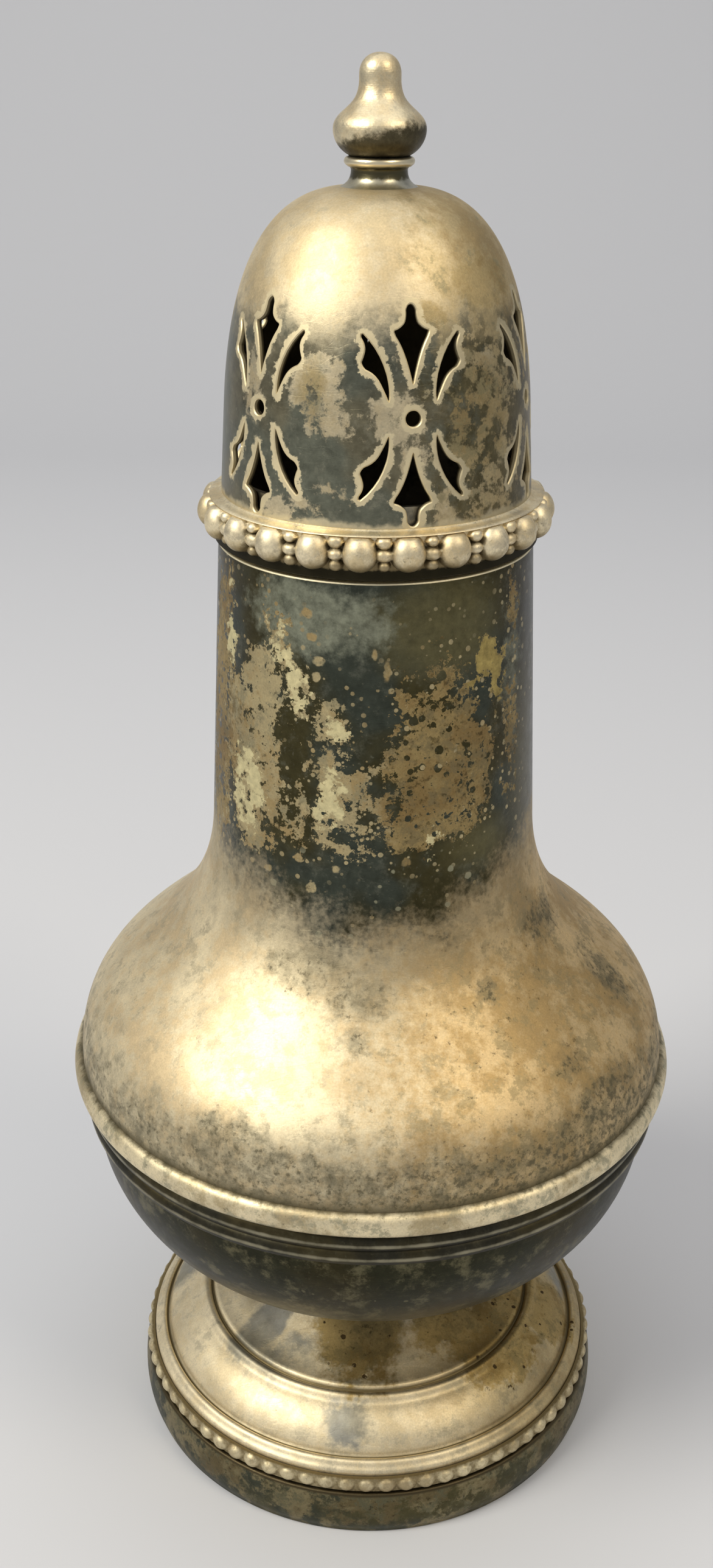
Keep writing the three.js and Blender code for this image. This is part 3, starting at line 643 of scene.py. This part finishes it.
# The upper body: shoulder and neck, spun in one piece, with its lower edge turned in under the girdle.
# The neck's plate is tarnished, with ragged patches worn bright where fingers hold it.
neck_wall, mouth_r, mouth_z, mouth_round, neck_place_r = 0.95, 18.4, 126.42, 0.22, 19.5
body_skin = np.vstack([
    drawn((37.6, 54.7), ((37.6, 57.4), 3), ((37.7, 57.9), (38.1, 58.1), (38.4, 58.25), 5),
          ((38.28, 59.95), 3), ((37.66, 65.8), (34.5, 69.1), (30.3, 72.5), 39),
          ((26.5, 75.7), (20.3, 80.5), (20, 92), 43), ((mouth_r, mouth_z - mouth_round), 29)),
    arc((mouth_r - mouth_round, mouth_z - mouth_round), mouth_round, 0, 90, 5)[1:],
])
body_inside = beside(body_skin[11:-4], neck_wall)
body_inside[-1, 1] = mouth_z

worn_neck_patches = [
    (-42, 112.6, 9.2, 5), (-46, 103.5, 15, 7), (-46, 97.3, 11, 4.6), (-41.4, 94.2, 5, 1.6),
    (-68, 110, 11, 14), (-64, 121, 5, 2.4), (-69, 97, 9, 6), (-52, 108, 14, 6),
    (-38.3, 121, 1.8, 1.4), (-35.4, 118.8, 2.6, 1.9), (-31.5, 116.8, 3.6, 1.8), (-27.8, 114.4, 3.4, 2),
    (-24.6, 112.2, 2.2, 2.1), (-27, 98.3, 4.6, 3.6), (-14.4, 109.4, 5.6, 3), (-15, 103.2, 6.4, 5.2),
    (-10.6, 97.6, 9.4, 3.2), (-7, 101, 9, 4), (19, 107.5, 12, 6), (14.5, 101.8, 14, 6.6), (26, 110, 9, 4),
    (36, 106.4, 9, 5), (14, 97.4, 14, 2.8), (32, 101, 10, 5.4), (24.5, 113.8, 4.7, 3.4), (12, 113, 5, 2.4),
    (56, 121.7, 2.6, 2.5), (55, 106.8, 4, 5)]
bright_neck_patches = [
    (-38.3, 121, 1.5, 1.2), (-35.4, 118.8, 2.3, 1.7), (-31.5, 116.8, 3.2, 1.5), (-27.8, 114.4, 3, 1.7),
    (-24.6, 112.2, 1.8, 1.8), (-50, 100, 9, 5), (-13, 108.8, 4, 2), (-14, 100.5, 5, 3.6),
    (21.2, 95.8, 1.8, 1.5), (-60, 118, 3, 3)]
yellow_neck_patches = [(43.3, 115.1, 7, 3.4)]
misted_neck_patches = [(-26, 122, 22, 5), (-4, 122, 12, 3.4), (-40, 112, 4, 6), (56, 114, 5, 9)]
olive_neck_patches = [(24, 121, 24, 6), (66, 100, 12, 14), (40, 94, 14, 3)]
dark_neck_holes = [
    (13.2, 115, 4.2, 1.3), (24.9, 112.2, 3, 0.9), (40.9, 110.6, 4.6, 1.6), (33.3, 105.7, 1.8, 0.8),
    (42, 105.1, 2.2, 0.8), (0.9, 103.1, 3, 2.6), (6, 100.9, 1.5, 1.6), (-0.6, 99, 2.2, 0.6),
    (-1, 106.9, 5, 1.5), (8.2, 109.4, 4, 0.8), (-8.6, 96.4, 4.2, 1), (-9.9, 105.7, 2.6, 0.8),
    (3, 96.2, 4, 0.7), (17.5, 86.4, 4.4, 2.6), (-29, 105, 5, 6.5), (-20.5, 101, 1.3, 3.5),
    (-38.5, 95.6, 1.6, 1.4)]
small_neck_marks = [
    (-23.8, 122.5, 2.2, 0.65), (-21.5, 120.1, 2.2, 0.55), (-31.1, 121.2, 1, 0.4), (-19, 117.2, 2.4, 0.6),
    (-19.5, 115.5, 1.6, 0.6), (-25.6, 93, 1.7, 0.6), (-37.9, 90.5, 1.5, 0.5), (-20.5, 89.5, 1.9, 0.7),
    (-11.9, 92.3, 1.3, 0.5), (11.3, 93.3, 1.7, 0.5), (0, 118.5, 0.9, 0.6), (4.4, 116.6, 1.2, 1.2)]
grey_shoulder_patches = [
    (-26, 64.9, 9, 2.1), (-17, 62.4, 16, 2.6), (1.4, 61.6, 12, 2.6), (17, 62, 10, 2.4), (32.6, 77.2, 3.2, 1),
    (44.8, 69.3, 2.9, 1.1), (-2.8, 74.5, 2.9, 1), (66, 80.5, 12, 1.9), (74, 72, 5, 3), (-18, 80, 14, 2.6),
    (-4, 78, 9, 2), (50, 64, 12, 2.6)]


def shoulder_plate(skin, fine, from_middle):
    """Plate that turns brown to the right, grey low down and in patches, duller towards the neck, and with
    painted shade in the corner above the girdle.
    """
    to_right = (skin.side + fine.between(-12, 12)).rise(-5, 9)
    low_band = skin.z.uneven(5, 4, 6, 0.7).rise(67, 61.5)
    grey = skin.frayed(skin.patches(grey_shoulder_patches), 1.0, 4.5).rise(-0.7, 0.9).larger(low_band)
    grime = to_right * 0.35 + grey.between(-0.15, 0.5)
    plate = skin.plate((0.76, 0.66, 0.45), (0.62, 0.5, 0.31), (0.48, 0.42, 0.285), grime)
    browned = skin.plate((0.66, 0.5, 0.27), (0.44, 0.31, 0.14), (0.34, 0.27, 0.14), grime)
    share = skin.cloud(1.6, 7, 0.75).rise(0.4, 0.6).between(0.25, 0.7)
    colour = (grey * share).tint(to_right.tint(plate, browned), (0.15, 0.135, 0.085))
    veil = (from_middle * -9.0 + skin.z.uneven(7, 3.5, 6, 0.7)).rise(72, 84) * 0.58
    colour = veil.tint(colour, fine.between(0.4, 1.6).of((0.29, 0.24, 0.15)))
    # painted shade in the corner between the shoulder and the girdle
    girdle_corner_shade = (skin.z + fine.between(-0.6, 0.6)).rise(60, 58.4) * 0.8
    return plate, girdle_corner_shade.tint(colour, (0.14, 0.12, 0.07))


def worn_neck_plate(skin, fine, neck, browner, yellow):
    """What the neck's worn patches show: plate, browner to the right, cream in some and yellow in one."""
    brown = skin.plate((0.36, 0.27, 0.12), (0.26, 0.18, 0.075), (0.21, 0.17, 0.09), 0.55)
    bright = skin.frayed(skin.patches(bright_neck_patches), 0.35, 8.0).rise(0, 0.4)
    colour = bright.tint(browner.tint(neck, brown), fine.between(0.35, 1.5).of((0.72, 0.64, 0.37)))
    return yellow.rise(0, 0.3).tint(colour, fine.between(0, 1.7).of((0.46, 0.36, 0.13)))


def neck_wear(skin, browner):
    """How deep a point lies in the neck's worn patches, in mm, less the holes and pits left in them, with
    small marks outside them and lumps of wear at the back, and how near it is to them."""
    at_back = skin.put("SeparateXYZ", {0: skin.place})[1].rise(0.0045, 0.0075)
    back_patch = (at_back - 1.0) * 9.0 + (skin.cloud(8) - 0.52)
    worn = skin.patches(worn_neck_patches).larger(back_patch * 9.0)
    worn = worn.smaller(skin.patches(dark_neck_holes) * -1.0)
    near = worn.rise(-4.5, -0.5)
    worn = skin.frayed(worn, 1.0, 8.0).uneven(3.2, 0.8, 5, 0.72)
    pits = skin.use(round_spots, Spacing=1.5, Size=0.42, Share=0.7) * browner.between(0.2, 1.0)
    return (pits * -2.0 + worn).larger(skin.patches(small_neck_marks)), near


def neck_tarnish(skin, fine, neck, near_worn):
    """Film, olive and misted in patches, with painted shade at the right edge, and specks and crumbs of
    plate.
    """
    film = skin.film((0.05, 0.057, 0.044), (0.052, 0.045, 0.02), (0.2, 0.2, 0.15))
    olive = skin.patches(olive_neck_patches).rise(-2, 3) * 0.8
    colour = olive.tint(film, fine.between(0.3, 1.7).of((0.135, 0.118, 0.055)))
    misted = skin.frayed(skin.patches(misted_neck_patches), 2.0, 9.0).rise(-1, 2.5) * 0.85
    colour = misted.tint(colour, fine.between(0, 1.8).of((0.29, 0.3, 0.215)))
    # painted shade: the film darkened towards the neck's right edge
    colour = skin.side.rise(13.5, 18).between(1, 0.6).of(colour)
    specks = skin.use(round_spots, Spacing=1.1, Size=0.26, Share=0.4) * skin.cloud(6, 3).between(-0.8, 1.9)
    crumbs = skin.use(round_spots, Spacing=0.95, Size=0.4, Share=0.55) * near_worn
    colour = specks.larger(crumbs).tint(colour, neck)
    low_specks = skin.use(round_spots, Spacing=1.9, Size=0.3, Share=0.55) * skin.z.rise(95.5, 93) * 0.8
    return film, low_specks.tint(colour, (0.3, 0.29, 0.19))


def body_plate():
    """Two states of plate: tarnish on the neck, down to a ragged border near z = 84, and champagne on the
    shoulder, in the neck's worn patches and at its mouth, and on its back where c8 is high. The mouth's edge
    is worn plate painted paler still, a painted highlight."""
    skin = SpreadSkin("worn_body_plate", neck_place_r, 0.55)
    from_middle, fine = (skin.side / neck_place_r).maths("POWER", 2.0), skin.cloud(1.1, 6, 0.72)
    browner = (skin.side + fine.between(-4, 4)).rise(-1, 3)
    browner = browner.larger((skin.side + fine.between(-6, 6)).rise(-15.8, -17.4))
    neck = skin.plate((0.47, 0.39, 0.22), (0.36, 0.27, 0.13), (0.3, 0.27, 0.165), 0.3)
    yellow = skin.frayed(skin.patches(yellow_neck_patches), 0.7, 8.0)
    worn, near_worn = neck_wear(skin, browner)
    film, colour = neck_tarnish(skin, fine, neck, near_worn)
    mouth = (skin.z - (mouth_z - mouth_round)) * 4.0
    is_worn = worn.larger(mouth).larger(yellow).rise(-0.05, 0.15)
    colour = is_worn.tint(colour, worn_neck_plate(skin, fine, neck, browner, yellow))
    # the mouth's rolled edge: worn plate, painted paler as a highlight
    colour = mouth.rise(-0.1, 0.3).tint(colour, (0.88, 0.8, 0.57))
    shoulder, shoulder_colour = shoulder_plate(skin, fine, from_middle)
    border = from_middle * 9.0 + (skin.cloud(6, 4, 0.6).between(78.5, 88.5) - skin.z)
    is_shoulder = (border.uneven(4.5, 0.7, 4, 0.65) + fine.between(-3, 3)).rise(-5, 3)
    roughness = is_worn.larger(is_shoulder).blend(film["Roughness"], shoulder["Roughness"] + 0.05)
    eaten = is_worn * skin.cloud(0.5, 3).between(-0.03, 0.01)
    colour = is_shoulder.tint(colour, shoulder_colour)
    return skin.finished(colour, roughness, eaten + skin.handled(shoulder))


turned("shoulder_and_neck", np.vstack([
    body_skin, body_inside[::-1], drawn((36.65, 59), ((36.65, 54.7), 2)),
]), "body", ["upper_body"], body_plate(), columns=360)

# The cap's sleeve: a plain tube that plugs into the neck, soldered inside the cap's edge. Its plate is
# scratched by the neck and dull inside.
turned("cap_sleeve_tube", drawn(
    (17.2, 113.7), ((17.2, 126.4), 11), ((17.2, 126.7), 1), ((16.75, 134.3), 5), ((16.15, 134.3), 1),
    ((16.6, 126.7), 5), ((16.6, 126.4), 1), ((16.6, 113.7), 11)), "cap", ["cap_sleeve"],
    dark_plate("dull_sleeve_plate", (0.15, 0.14, 0.11), (0.17, 0.14, 0.08), (0.26, 0.23, 0.16),
               (0.42, 0.37, 0.26), 0.42, 0.6))

# The cap: a tall dome of thin sheet, pierced by hand with six motifs of a round eye and six petals,
# whose edges are filed bright. The wall is triangulated round the piercings, a sixth of it at a time.
cap_edge_z, cap_wall, pierced_top, stud_hole_r, cut_bevel = 126.7, 0.7, 158.4, 1.2, 0.12
motif_count, motif_turn, motif_z, cap_mean_r, crown_from_cut = 6, 12.8, 143.7, 17.3, 5
sheet_columns, sheet_rows, cut_step, clear_of_cut = 42, 74, 0.22, 0.28
cap_skin = drawn((18.2, cap_edge_z), ((17.3, 142), 59), ((16.57, 155.05), (12.98, 164.44), (4, 164.9), 159))
cap_normals = beside(cap_skin, -1) - cap_skin


def cap_place(u, z, depth):
    """(r, a, z) at u mm of arc from the motif's middle line and height z, depth mm inside the outer skin."""
    order_z = cap_skin[:, 1]
    r = np.interp(z, order_z, cap_skin[:, 0]) - depth * np.interp(z, order_z, cap_normals[:, 0])
    low = z - depth * np.interp(z, order_z, cap_normals[:, 1])
    return np.column_stack([r, u / cap_mean_r, np.where(z <= cap_edge_z + 1e-6, cap_edge_z, low)])


centre_right = drawn(
    (0, 3.5), ((0.16, 4.2), (0.42, 5.1), 6), ((0.95, 6.9), (1.62, 7.9), 6), ((1.86, 8.2), (2.05, 8.75), 6),
    ((1.35, 8.85), (0.78, 9.5), 6), ((0.55, 10.1), (0.6, 10.7), 6), ((0.42, 11.25), (0, 11.3), 6))
centre_petal = np.vstack([centre_right[:-1], (centre_right * [-1, 1])[::-1][:-1]])
side_petal = drawn(
    (2.62, 1.8), ((3.0, 2.7), (3.5, 3.6), 5), ((4.05, 4.6), (5.1, 4.95), 5), ((5.45, 5.2), (5.62, 5.65), 5),
    ((5.35, 6.2), (5.22, 6.85), 5), ((5.2, 7.5), (5.72, 8.1), 5), ((5.78, 8.5), (5.55, 8.45), 5),
    ((3.6, 6.9), (2.85, 4.4), 5), ((2.45, 2.9), (2.62, 1.8), 5))[:-1]
motif = [arc((0, 0), 0.84, 0, 345, 24)]
for sign in (1, -1):
    motif += [centre_petal * [1, sign], side_petal * [1, sign], side_petal * [-1, sign]]


def evened(points, step):
    """The closed outline, counterclockwise and with a point every step mm."""
    points = counterclockwise(points)
    closed = np.vstack([points, points[:1]])
    run = np.concatenate([[0], np.cumsum(np.linalg.norm(np.diff(closed, axis=0), axis=1))])
    at = np.linspace(0, run[-1], max(12, int(run[-1] / step)), endpoint=False)
    return np.column_stack([np.interp(at, run, closed[:, 0]), np.interp(at, run, closed[:, 1])])


def widened(points, by):
    """The closed outline moved outwards by a distance along the mean of its neighbours' normals."""
    along = np.roll(points, -1, 0) - np.roll(points, 1, 0)
    along /= np.linalg.norm(along, axis=1)[:, None]
    return points + by * np.column_stack([along[:, 1], -along[:, 0]])


cuts = [evened(outline, cut_step) + [0, motif_z] for outline in motif]


def near_cut(points):
    """The distance in mm from each point to the nearest piercing's edge."""
    return np.min(np.linalg.norm(points[:, None] - np.vstack(cuts)[None], axis=2), axis=1)


def within(points, outline):
    """True where a point is inside the outline, by counting the sides that a line to the right crosses."""
    x, y = points[:, :1], points[:, 1:]
    x0, y0 = outline.T
    x1, y1 = np.roll(outline, -1, 0).T
    crosses = (y0 > y) != (y1 > y)
    with np.errstate(divide="ignore", invalid="ignore"):
        at = x0 + (y - y0) * (x1 - x0) / (y1 - y0)
    return np.sum(crosses & (x < at), axis=1) % 2 == 1


def pierced_sheet(outlines):
    """Points (u, z) and triangles of a sixth of the wall, with the outlines left open."""
    half = math.pi * cap_mean_r / motif_count
    u, z = np.meshgrid(
        np.linspace(-half, half, sheet_columns + 1), np.linspace(cap_edge_z, pierced_top, sheet_rows + 1))
    free = np.column_stack([u.ravel(), z.ravel()])
    at_border = (np.abs(free[:, 0]) > half - 1e-6) | (np.abs(free[:, 1] - z.mean()) > np.ptp(z) / 2 - 1e-6)
    free = free[at_border | (near_cut(free) > clear_of_cut)]
    for outline in outlines:
        free = free[~within(free, outline)]
    edges, start = [], len(free)
    for outline in outlines:
        ring = np.arange(len(outline)) + start
        edges += list(zip(ring.tolist(), np.roll(ring, -1).tolist()))
        start += len(outline)
    made = delaunay_2d_cdt([Vector(p) for p in np.vstack([free, *outlines])], edges, [], 0, 1e-7)
    places = np.array([tuple(v) for v in made[0]])
    triangles = np.array(made[2])
    for outline in outlines:
        triangles = triangles[~within(places[triangles].mean(axis=1), outline)]
    return places, triangles


def cap_mesh():
    """Outer and inner sheets, the filed walls of the cuts, the edge, and the crown above them. Each point
    carries its distance in mm from the nearest cut and, as 0 or 1, whether it belongs to the inside."""
    points, triangles, quads, from_cut, inside = [], [], [], [], []

    def add(places, depth, distance):
        """Adds places (r, a, z) with their two marks, and gives back the number of the first."""
        first = sum(map(len, points))
        points.append(places)
        from_cut.append(np.broadcast_to(distance, len(places)))
        inside.append(np.full(len(places), float(depth == cap_wall)))
        return first

    wide = [widened(cut, cut_bevel) for cut in cuts]
    for outlines, depth, way in ((wide, 0, 1), (cuts, cap_wall, -1)):
        places, made = pierced_sheet(outlines)
        triangles.append(made[:, ::way] + add(cap_place(*places.T, depth), depth, near_cut(places)))
    for outer, inner in zip(wide, cuts):
        i = np.arange(len(outer))
        on = np.roll(i, -1)
        a, b, c = (add(cap_place(*ring.T, depth), depth, 0.0)
                   for ring, depth in ((outer, 0), (inner, cut_bevel), (inner, cap_wall)))
        quads += [np.column_stack([p + i, q + i, q + on, p + on]) for p, q in ((a, b), (b, c))]

    u = np.linspace(-1, 1, sheet_columns + 1) * math.pi * cap_mean_r / motif_count
    above = cap_skin[cap_skin[:, 1] > pierced_top + 0.02][:, 1]
    tail = np.append(np.append(pierced_top, above)[::2], cap_skin[-1, 1])
    edge = [(cap_place(u, np.full_like(u, cap_edge_z), depth), depth) for depth in (cap_wall, 0)]
    crown = [(cap_place(u, np.full_like(u, height), 0), 0) for height in tail]
    for depth in (0, cap_wall):
        crown.append((np.array([(stud_hole_r, a, cap_skin[-1, 1] - depth) for a in u / cap_mean_r]), depth))
    crown += [(cap_place(u, np.full_like(u, height), cap_wall), cap_wall) for height in tail[::-1]]
    i = np.arange(sheet_columns)
    for rows in (edge, crown):
        starts = [add(places, depth, crown_from_cut) for places, depth in rows]
        quads += [np.column_stack([a + i, a + i + 1, b + i + 1, b + i]) for a, b in zip(starts, starts[1:])]

    (r, a, z), quads, triangles = np.vstack(points).T, np.vstack(quads), np.vstack(triangles)
    places, faces = [], []
    for k in range(motif_count):
        places.append(around(r, a + math.radians(motif_turn + 360 * k / motif_count), z))
        faces += (quads + k * len(r)).tolist() + (triangles + k * len(r)).tolist()
    mesh = bpy.data.meshes.new("pierced_cap")
    mesh.from_pydata(np.vstack(places), [], faces)
    for label, values in (("from_cut", from_cut), ("inside", inside)):
        marks = mesh.attributes.new(label, "FLOAT", "POINT")
        marks.data.foreach_set("value", np.tile(np.concatenate(values), motif_count))
    return mesh


clear_cap_patches = [
    (-22, 147, 9.5, 3.4), (-13, 143.6, 6, 1.8), (6, 143.7, 9, 2.6), (12.8, 141, 4, 4),
    (-36.2, 133.2, 9.5, 1.4), (-24.7, 142.8, 2.2, 0.7), (-16.3, 136.2, 3.6, 0.6), (-27.5, 134.3, 4.8, 0.6),
    (49, 149.4, 15.6, 0.4), (-50, 147, 5, 3), (46, 137.8, 5, 0.9), (33, 139.4, 4, 2.2), (24, 133.6, 4, 1.4),
    (62, 146, 6, 0.8)]
brown_cap_patches = [
    (36.6, 143, 17.5, 6), (-24, 146.4, 5, 3), (50, 156.5, 22, 3), (20, 153.5, 10, 1.4), (88, 150, 18, 6)]


def cap_plate():
    """Satin champagne plate above a ragged line near z = 152, tarnish below it with clear patches, a worn
    pale margin round each cut, and a dull inside."""
    skin = SpreadSkin("pierced_cap_plate", cap_mean_r, 0.7)
    from_cut, inside = (
        skin.put("Attribute", attribute_name=name, output="Fac") for name in ("from_cut", "inside"))
    noise = skin.cloud(2.8, 8, 0.72)
    to_right = (skin.side + noise.between(-14, 14)).rise(2, 12)
    browned = skin.frayed(skin.patches(brown_cap_patches), 1.2, 4.0).rise(-0.6, 0.9).larger(to_right * 0.8)
    grime = browned * 0.35 + skin.z.rise(156, 151).between(-1.4, -0.2)
    plate = skin.plate((0.74, 0.63, 0.42), (0.6, 0.49, 0.3), (0.5, 0.45, 0.32), grime)
    brown = skin.plate((0.5, 0.39, 0.2), (0.34, 0.25, 0.115), (0.28, 0.25, 0.14), grime)
    champagne = browned.tint(plate, brown)
    film = skin.film((0.16, 0.165, 0.122), (0.2, 0.18, 0.115), (0.44, 0.41, 0.29))
    shadow = skin.film((0.11, 0.095, 0.05), (0.15, 0.12, 0.058), (0.34, 0.28, 0.16))
    tarnish = to_right.tint(film, shadow)

    half_way = to_right * 2.3 - 2.0 - skin.side.rise(13.6, 14.8)
    clear = skin.frayed(skin.patches(clear_cap_patches).larger(half_way), 0.8, 8.5).rise(-0.3, 0.6)
    is_clear = (clear * noise.between(0.5, 1.0)).larger((skin.z + noise.between(-6, 6)).rise(149, 155.5))
    margin = from_cut.uneven(1.1, 1.1, 6, 0.7).rise(0.72, 0.5)
    rim = to_right.between(1.0, 0.72).of(noise.between(0.7, 1.2).of((0.76, 0.66, 0.43)))
    colour = margin.tint(is_clear.tint(tarnish, champagne), rim)
    colour = skin.z.uneven(1.2, 2, 6).rise(133.2, 132.4).tint(colour, rim)
    dull = skin.cloud(2.5, 5).between(0.25, 1.3).of((0.15, 0.12, 0.065))
    colour = inside.rise(0.35, 0.75).tint(colour, dull)
    is_bare = is_clear.larger(margin)
    roughness = inside.blend(is_bare.blend(film["Roughness"], plate["Roughness"] + 0.05), 0.7)
    return skin.finished(colour, roughness, is_bare * -0.01 + skin.handled(plate))


piece("pierced_cap", cap_mesh(), "cap", ["cap_shell"], cap_plate(), 30)

# The cap's border: large beads with a stack of three pearls between each two, stamped in a strip with a
# smooth flange above, and soldered round the cap's edge.
border_beads, border_turn, border_bed_r, border_crest_r, border_pearl_r = 23, 10.6, 18.85, 20.7, 19.14
bead_z, bead_half_width, bead_half_height, bead_top_height, bead_depth = 129.75, 1.95, 1.95, 2.25, 1.85
pearls = [(-1.2, 0.72, 0.6), (0, 1.05, 0.74), (1.35, 0.8, 0.66)]
pearl_unevenness = 0.12


def border_relief(a, r, z):
    """Bulged by the large bead and by the three pearls halfway between two beads. A pearl is its height over
    the bead's middle, its half width and its half height, both times 1 + 0.12 sin(5 i + 3 height)."""
    pitch = 2 * math.pi / border_beads
    a = a - math.radians(border_turn)
    bed, middle_r = r, border_bed_r + 0.55
    w = from_nearest(a, pitch) * middle_r
    half_height = np.where(z > bead_z, bead_top_height, bead_half_height)
    r = bulged(r, border_crest_r - bead_depth, bead_depth, w / bead_half_width, (z - bead_z) / half_height)
    w = (np.mod(a, pitch) - pitch / 2) * middle_r
    order = np.mod(np.floor(a / pitch), border_beads)
    for pearl_z, width, height in pearls:
        full = 1 + pearl_unevenness * np.sin(5 * order + 3 * pearl_z)
        r = bulged(r, border_pearl_r, height, w / (width * full), (z - bead_z - pearl_z) / (height * full))
    return np.where((bed > border_bed_r - 0.01) & (z < bead_z + bead_half_height), r, bed)


def border_plate():
    """Pale plate, darker where the radius is near the bed, with painted shade on the beads' lower halves and
    a nearly black painted shadow below them.
    """
    skin = Skin("rubbed_border_plate")
    plate = skin.plate((0.84, 0.74, 0.52), (0.64, 0.53, 0.33), (0.55, 0.48, 0.34), 0.1)
    noise = skin.cloud(0.6, 5)
    low = (skin.r + noise.between(-0.5, 0.5)).rise(19.95, 19.2)
    low = low * (skin.z + noise.between(-0.5, 0.5)).rise(bead_z + 1.35, bead_z + 0.9)
    colour = (low * 0.85).tint(plate, (0.13, 0.1, 0.047))
    # painted shade: brown on the lower halves of the beads
    under = (skin.z + noise.between(-0.7, 0.7)).rise(bead_z, bead_z - 1.5) * 0.8
    colour = under.tint(colour, (0.27, 0.21, 0.11))
    # painted shadow: a nearly black strip below the beads
    below = (skin.z + noise.between(-0.4, 0.4)).rise(bead_z - 1.5, bead_z - 1.9)
    colour = below.tint(colour, (0.03, 0.026, 0.015))
    return skin.finished(colour, low.blend(plate["Roughness"], 0.65), plate["Height"])


turned("bead_and_pearl_border", drawn(
    (18.5, 126.75), ((border_bed_r, 126.95), 3), ((border_bed_r, 131.7), 49), ((19.25, 131.72), 1),
    ((19.42, 131.8), (19.1, 131.98), (18.6, 132.0), 7), ((18.25, 132.05), (18.1, 132.1), (17.95, 132.25), 5),
    ((17.85, 132.25), 1), ((18.4, 126.75), 5)), "cap", ["cap_border"], border_plate(),
    columns=border_beads * 44, relief=border_relief, crease=60)

# The finial's collar: a flared waist with a turned ring above it, gone grey, dark in the waist and rubbed
# on the ring. The knop's stud holds it down on the crown.


def collar_plate():
    """Grey film, dark where the radius is as small as the waist's and rubbed pale where it is the ring's."""
    skin = Skin("grey_collar_plate")
    film = skin.film((0.4, 0.4, 0.34), (0.46, 0.42, 0.3), (0.68, 0.62, 0.46))
    waist = skin.r.uneven(0.2, 0.7).rise(3.3, 3.12)
    rubbed = (skin.r * skin.z.rise(166.5, 166.8)).uneven(0.3, 0.8).rise(3.35, 3.65)
    colour = rubbed.tint(waist.tint(film, (0.09, 0.08, 0.045)), (0.72, 0.64, 0.45))
    return skin.finished(colour, skin.cloud(1, 3).between(0.25, 0.45), skin.handled(film))


turned("waisted_collar", np.vstack([
    drawn((4.2, 164.87), ((3.35, 165.25), (3.08, 165.8), (3.05, 166.5), 13),
          ((3.06, 166.8), (3.2, 166.9), (3.4, 166.92), 7)),
    arc((3.34, 167.45), 0.46, -60, 80, 14),
    drawn((3.2, 168), ((1.2, 168), 2), ((1.2, 164.9), 1), ((3.7, 164.87), 2)),
]), "cap", ["finial_collar"], collar_plate(), columns=96)

# The finial's knop: turned like a small baluster and polished by the fingers that lift the cap by it, with
# painted shade on the underside of its bulge.


def knop_plate():
    """Champagne plate with fine turned rings, and painted shade where z - 0.22 x + 0.12 y is under about 170
    mm.
    """
    skin = Skin("polished_knop_plate")
    plate = skin.plate((0.76, 0.66, 0.45), (0.62, 0.51, 0.32), (0.55, 0.49, 0.35), -0.2)
    side = skin.put("SeparateXYZ", {0: skin.place})
    leaning = side * (-0.22 / MM) + (side[1] * (0.12 / MM) + skin.z)
    # painted shade: a mottled dark colour on the underside of the bulge
    underside_shade = skin.cloud(0.7, 6, 0.7).between(0.2, 1.8).of((0.085, 0.072, 0.042))
    colour = leaning.uneven(1.5, 0.9, 6, 0.7).rise(170.7, 169.4).tint(plate, underside_shade)
    rings = (skin.z * 30.0).maths("SINE") * 0.0008
    height = rings + plate["Height"] + skin.cloud(1.6, 3).between(0, 0.1)
    return skin.finished(colour, skin.cloud(1, 3).between(0.36, 0.56), height)


turned("turned_knop", drawn(
    (0, 171.2), ((1.2, 171.2), 1), ((1.2, 168), 1), ((3.25, 168), 2),
    ((4.3, 168.5), (4.98, 169.5), (4.98, 170.6), 15), ((4.98, 172.2), (3, 172.6), (2.45, 174.1), 21),
    ((2.24, 174.7), (2.2, 175.2), (2.22, 175.8), 9), ((2.25, 177.2), (1.35, 178.05), (0, 178.05), 17)),
    "cap", ["finial_knop"], knop_plate(), columns=96, loop=False)

# The pieces that nobody sees in use keep the shapes of the CAD: the wire that stiffens the foot's lower
# edge from inside, and the brass stud, washer and nut that hold the finial on the crown from below.


def hidden_wire_plate():
    """Browned plate with dark film where c3 is high."""
    skin = Skin("browned_wire_plate")
    plate = skin.plate((0.4, 0.33, 0.2), (0.2, 0.15, 0.08), (0.2, 0.19, 0.13), 0.3)
    film = skin.film((0.08, 0.085, 0.07), (0.1, 0.085, 0.04), (0.2, 0.18, 0.12))
    colour = skin.cloud(3, 5).rise(0.45, 0.6).tint(plate, film)
    return skin.finished(colour, plate["Roughness"], plate["Height"])


def bare_brass():
    """Brass with brown stains where c1.5 is high and fine turned rings about the axis."""
    skin = Skin("bare_turned_brass")
    colour = skin.cloud(1.5, 6, 0.65).rise(0.45, 0.7).tint((0.62, 0.44, 0.17), (0.2, 0.12, 0.05))
    rings = ((skin.r + skin.z) * 40.0).maths("SINE") * 0.0015
    return skin.finished(colour, skin.cloud(1).between(0.3, 0.55), rings)


wire_plate, brass = hidden_wire_plate(), bare_brass()
for name, material in (("foot_wire", wire_plate), ("finial_stud", brass), ("finial_washer", brass),
                       ("finial_nut", brass)):
    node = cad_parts[name]
    node.data.materials.clear()
    node.data.materials.append(material)
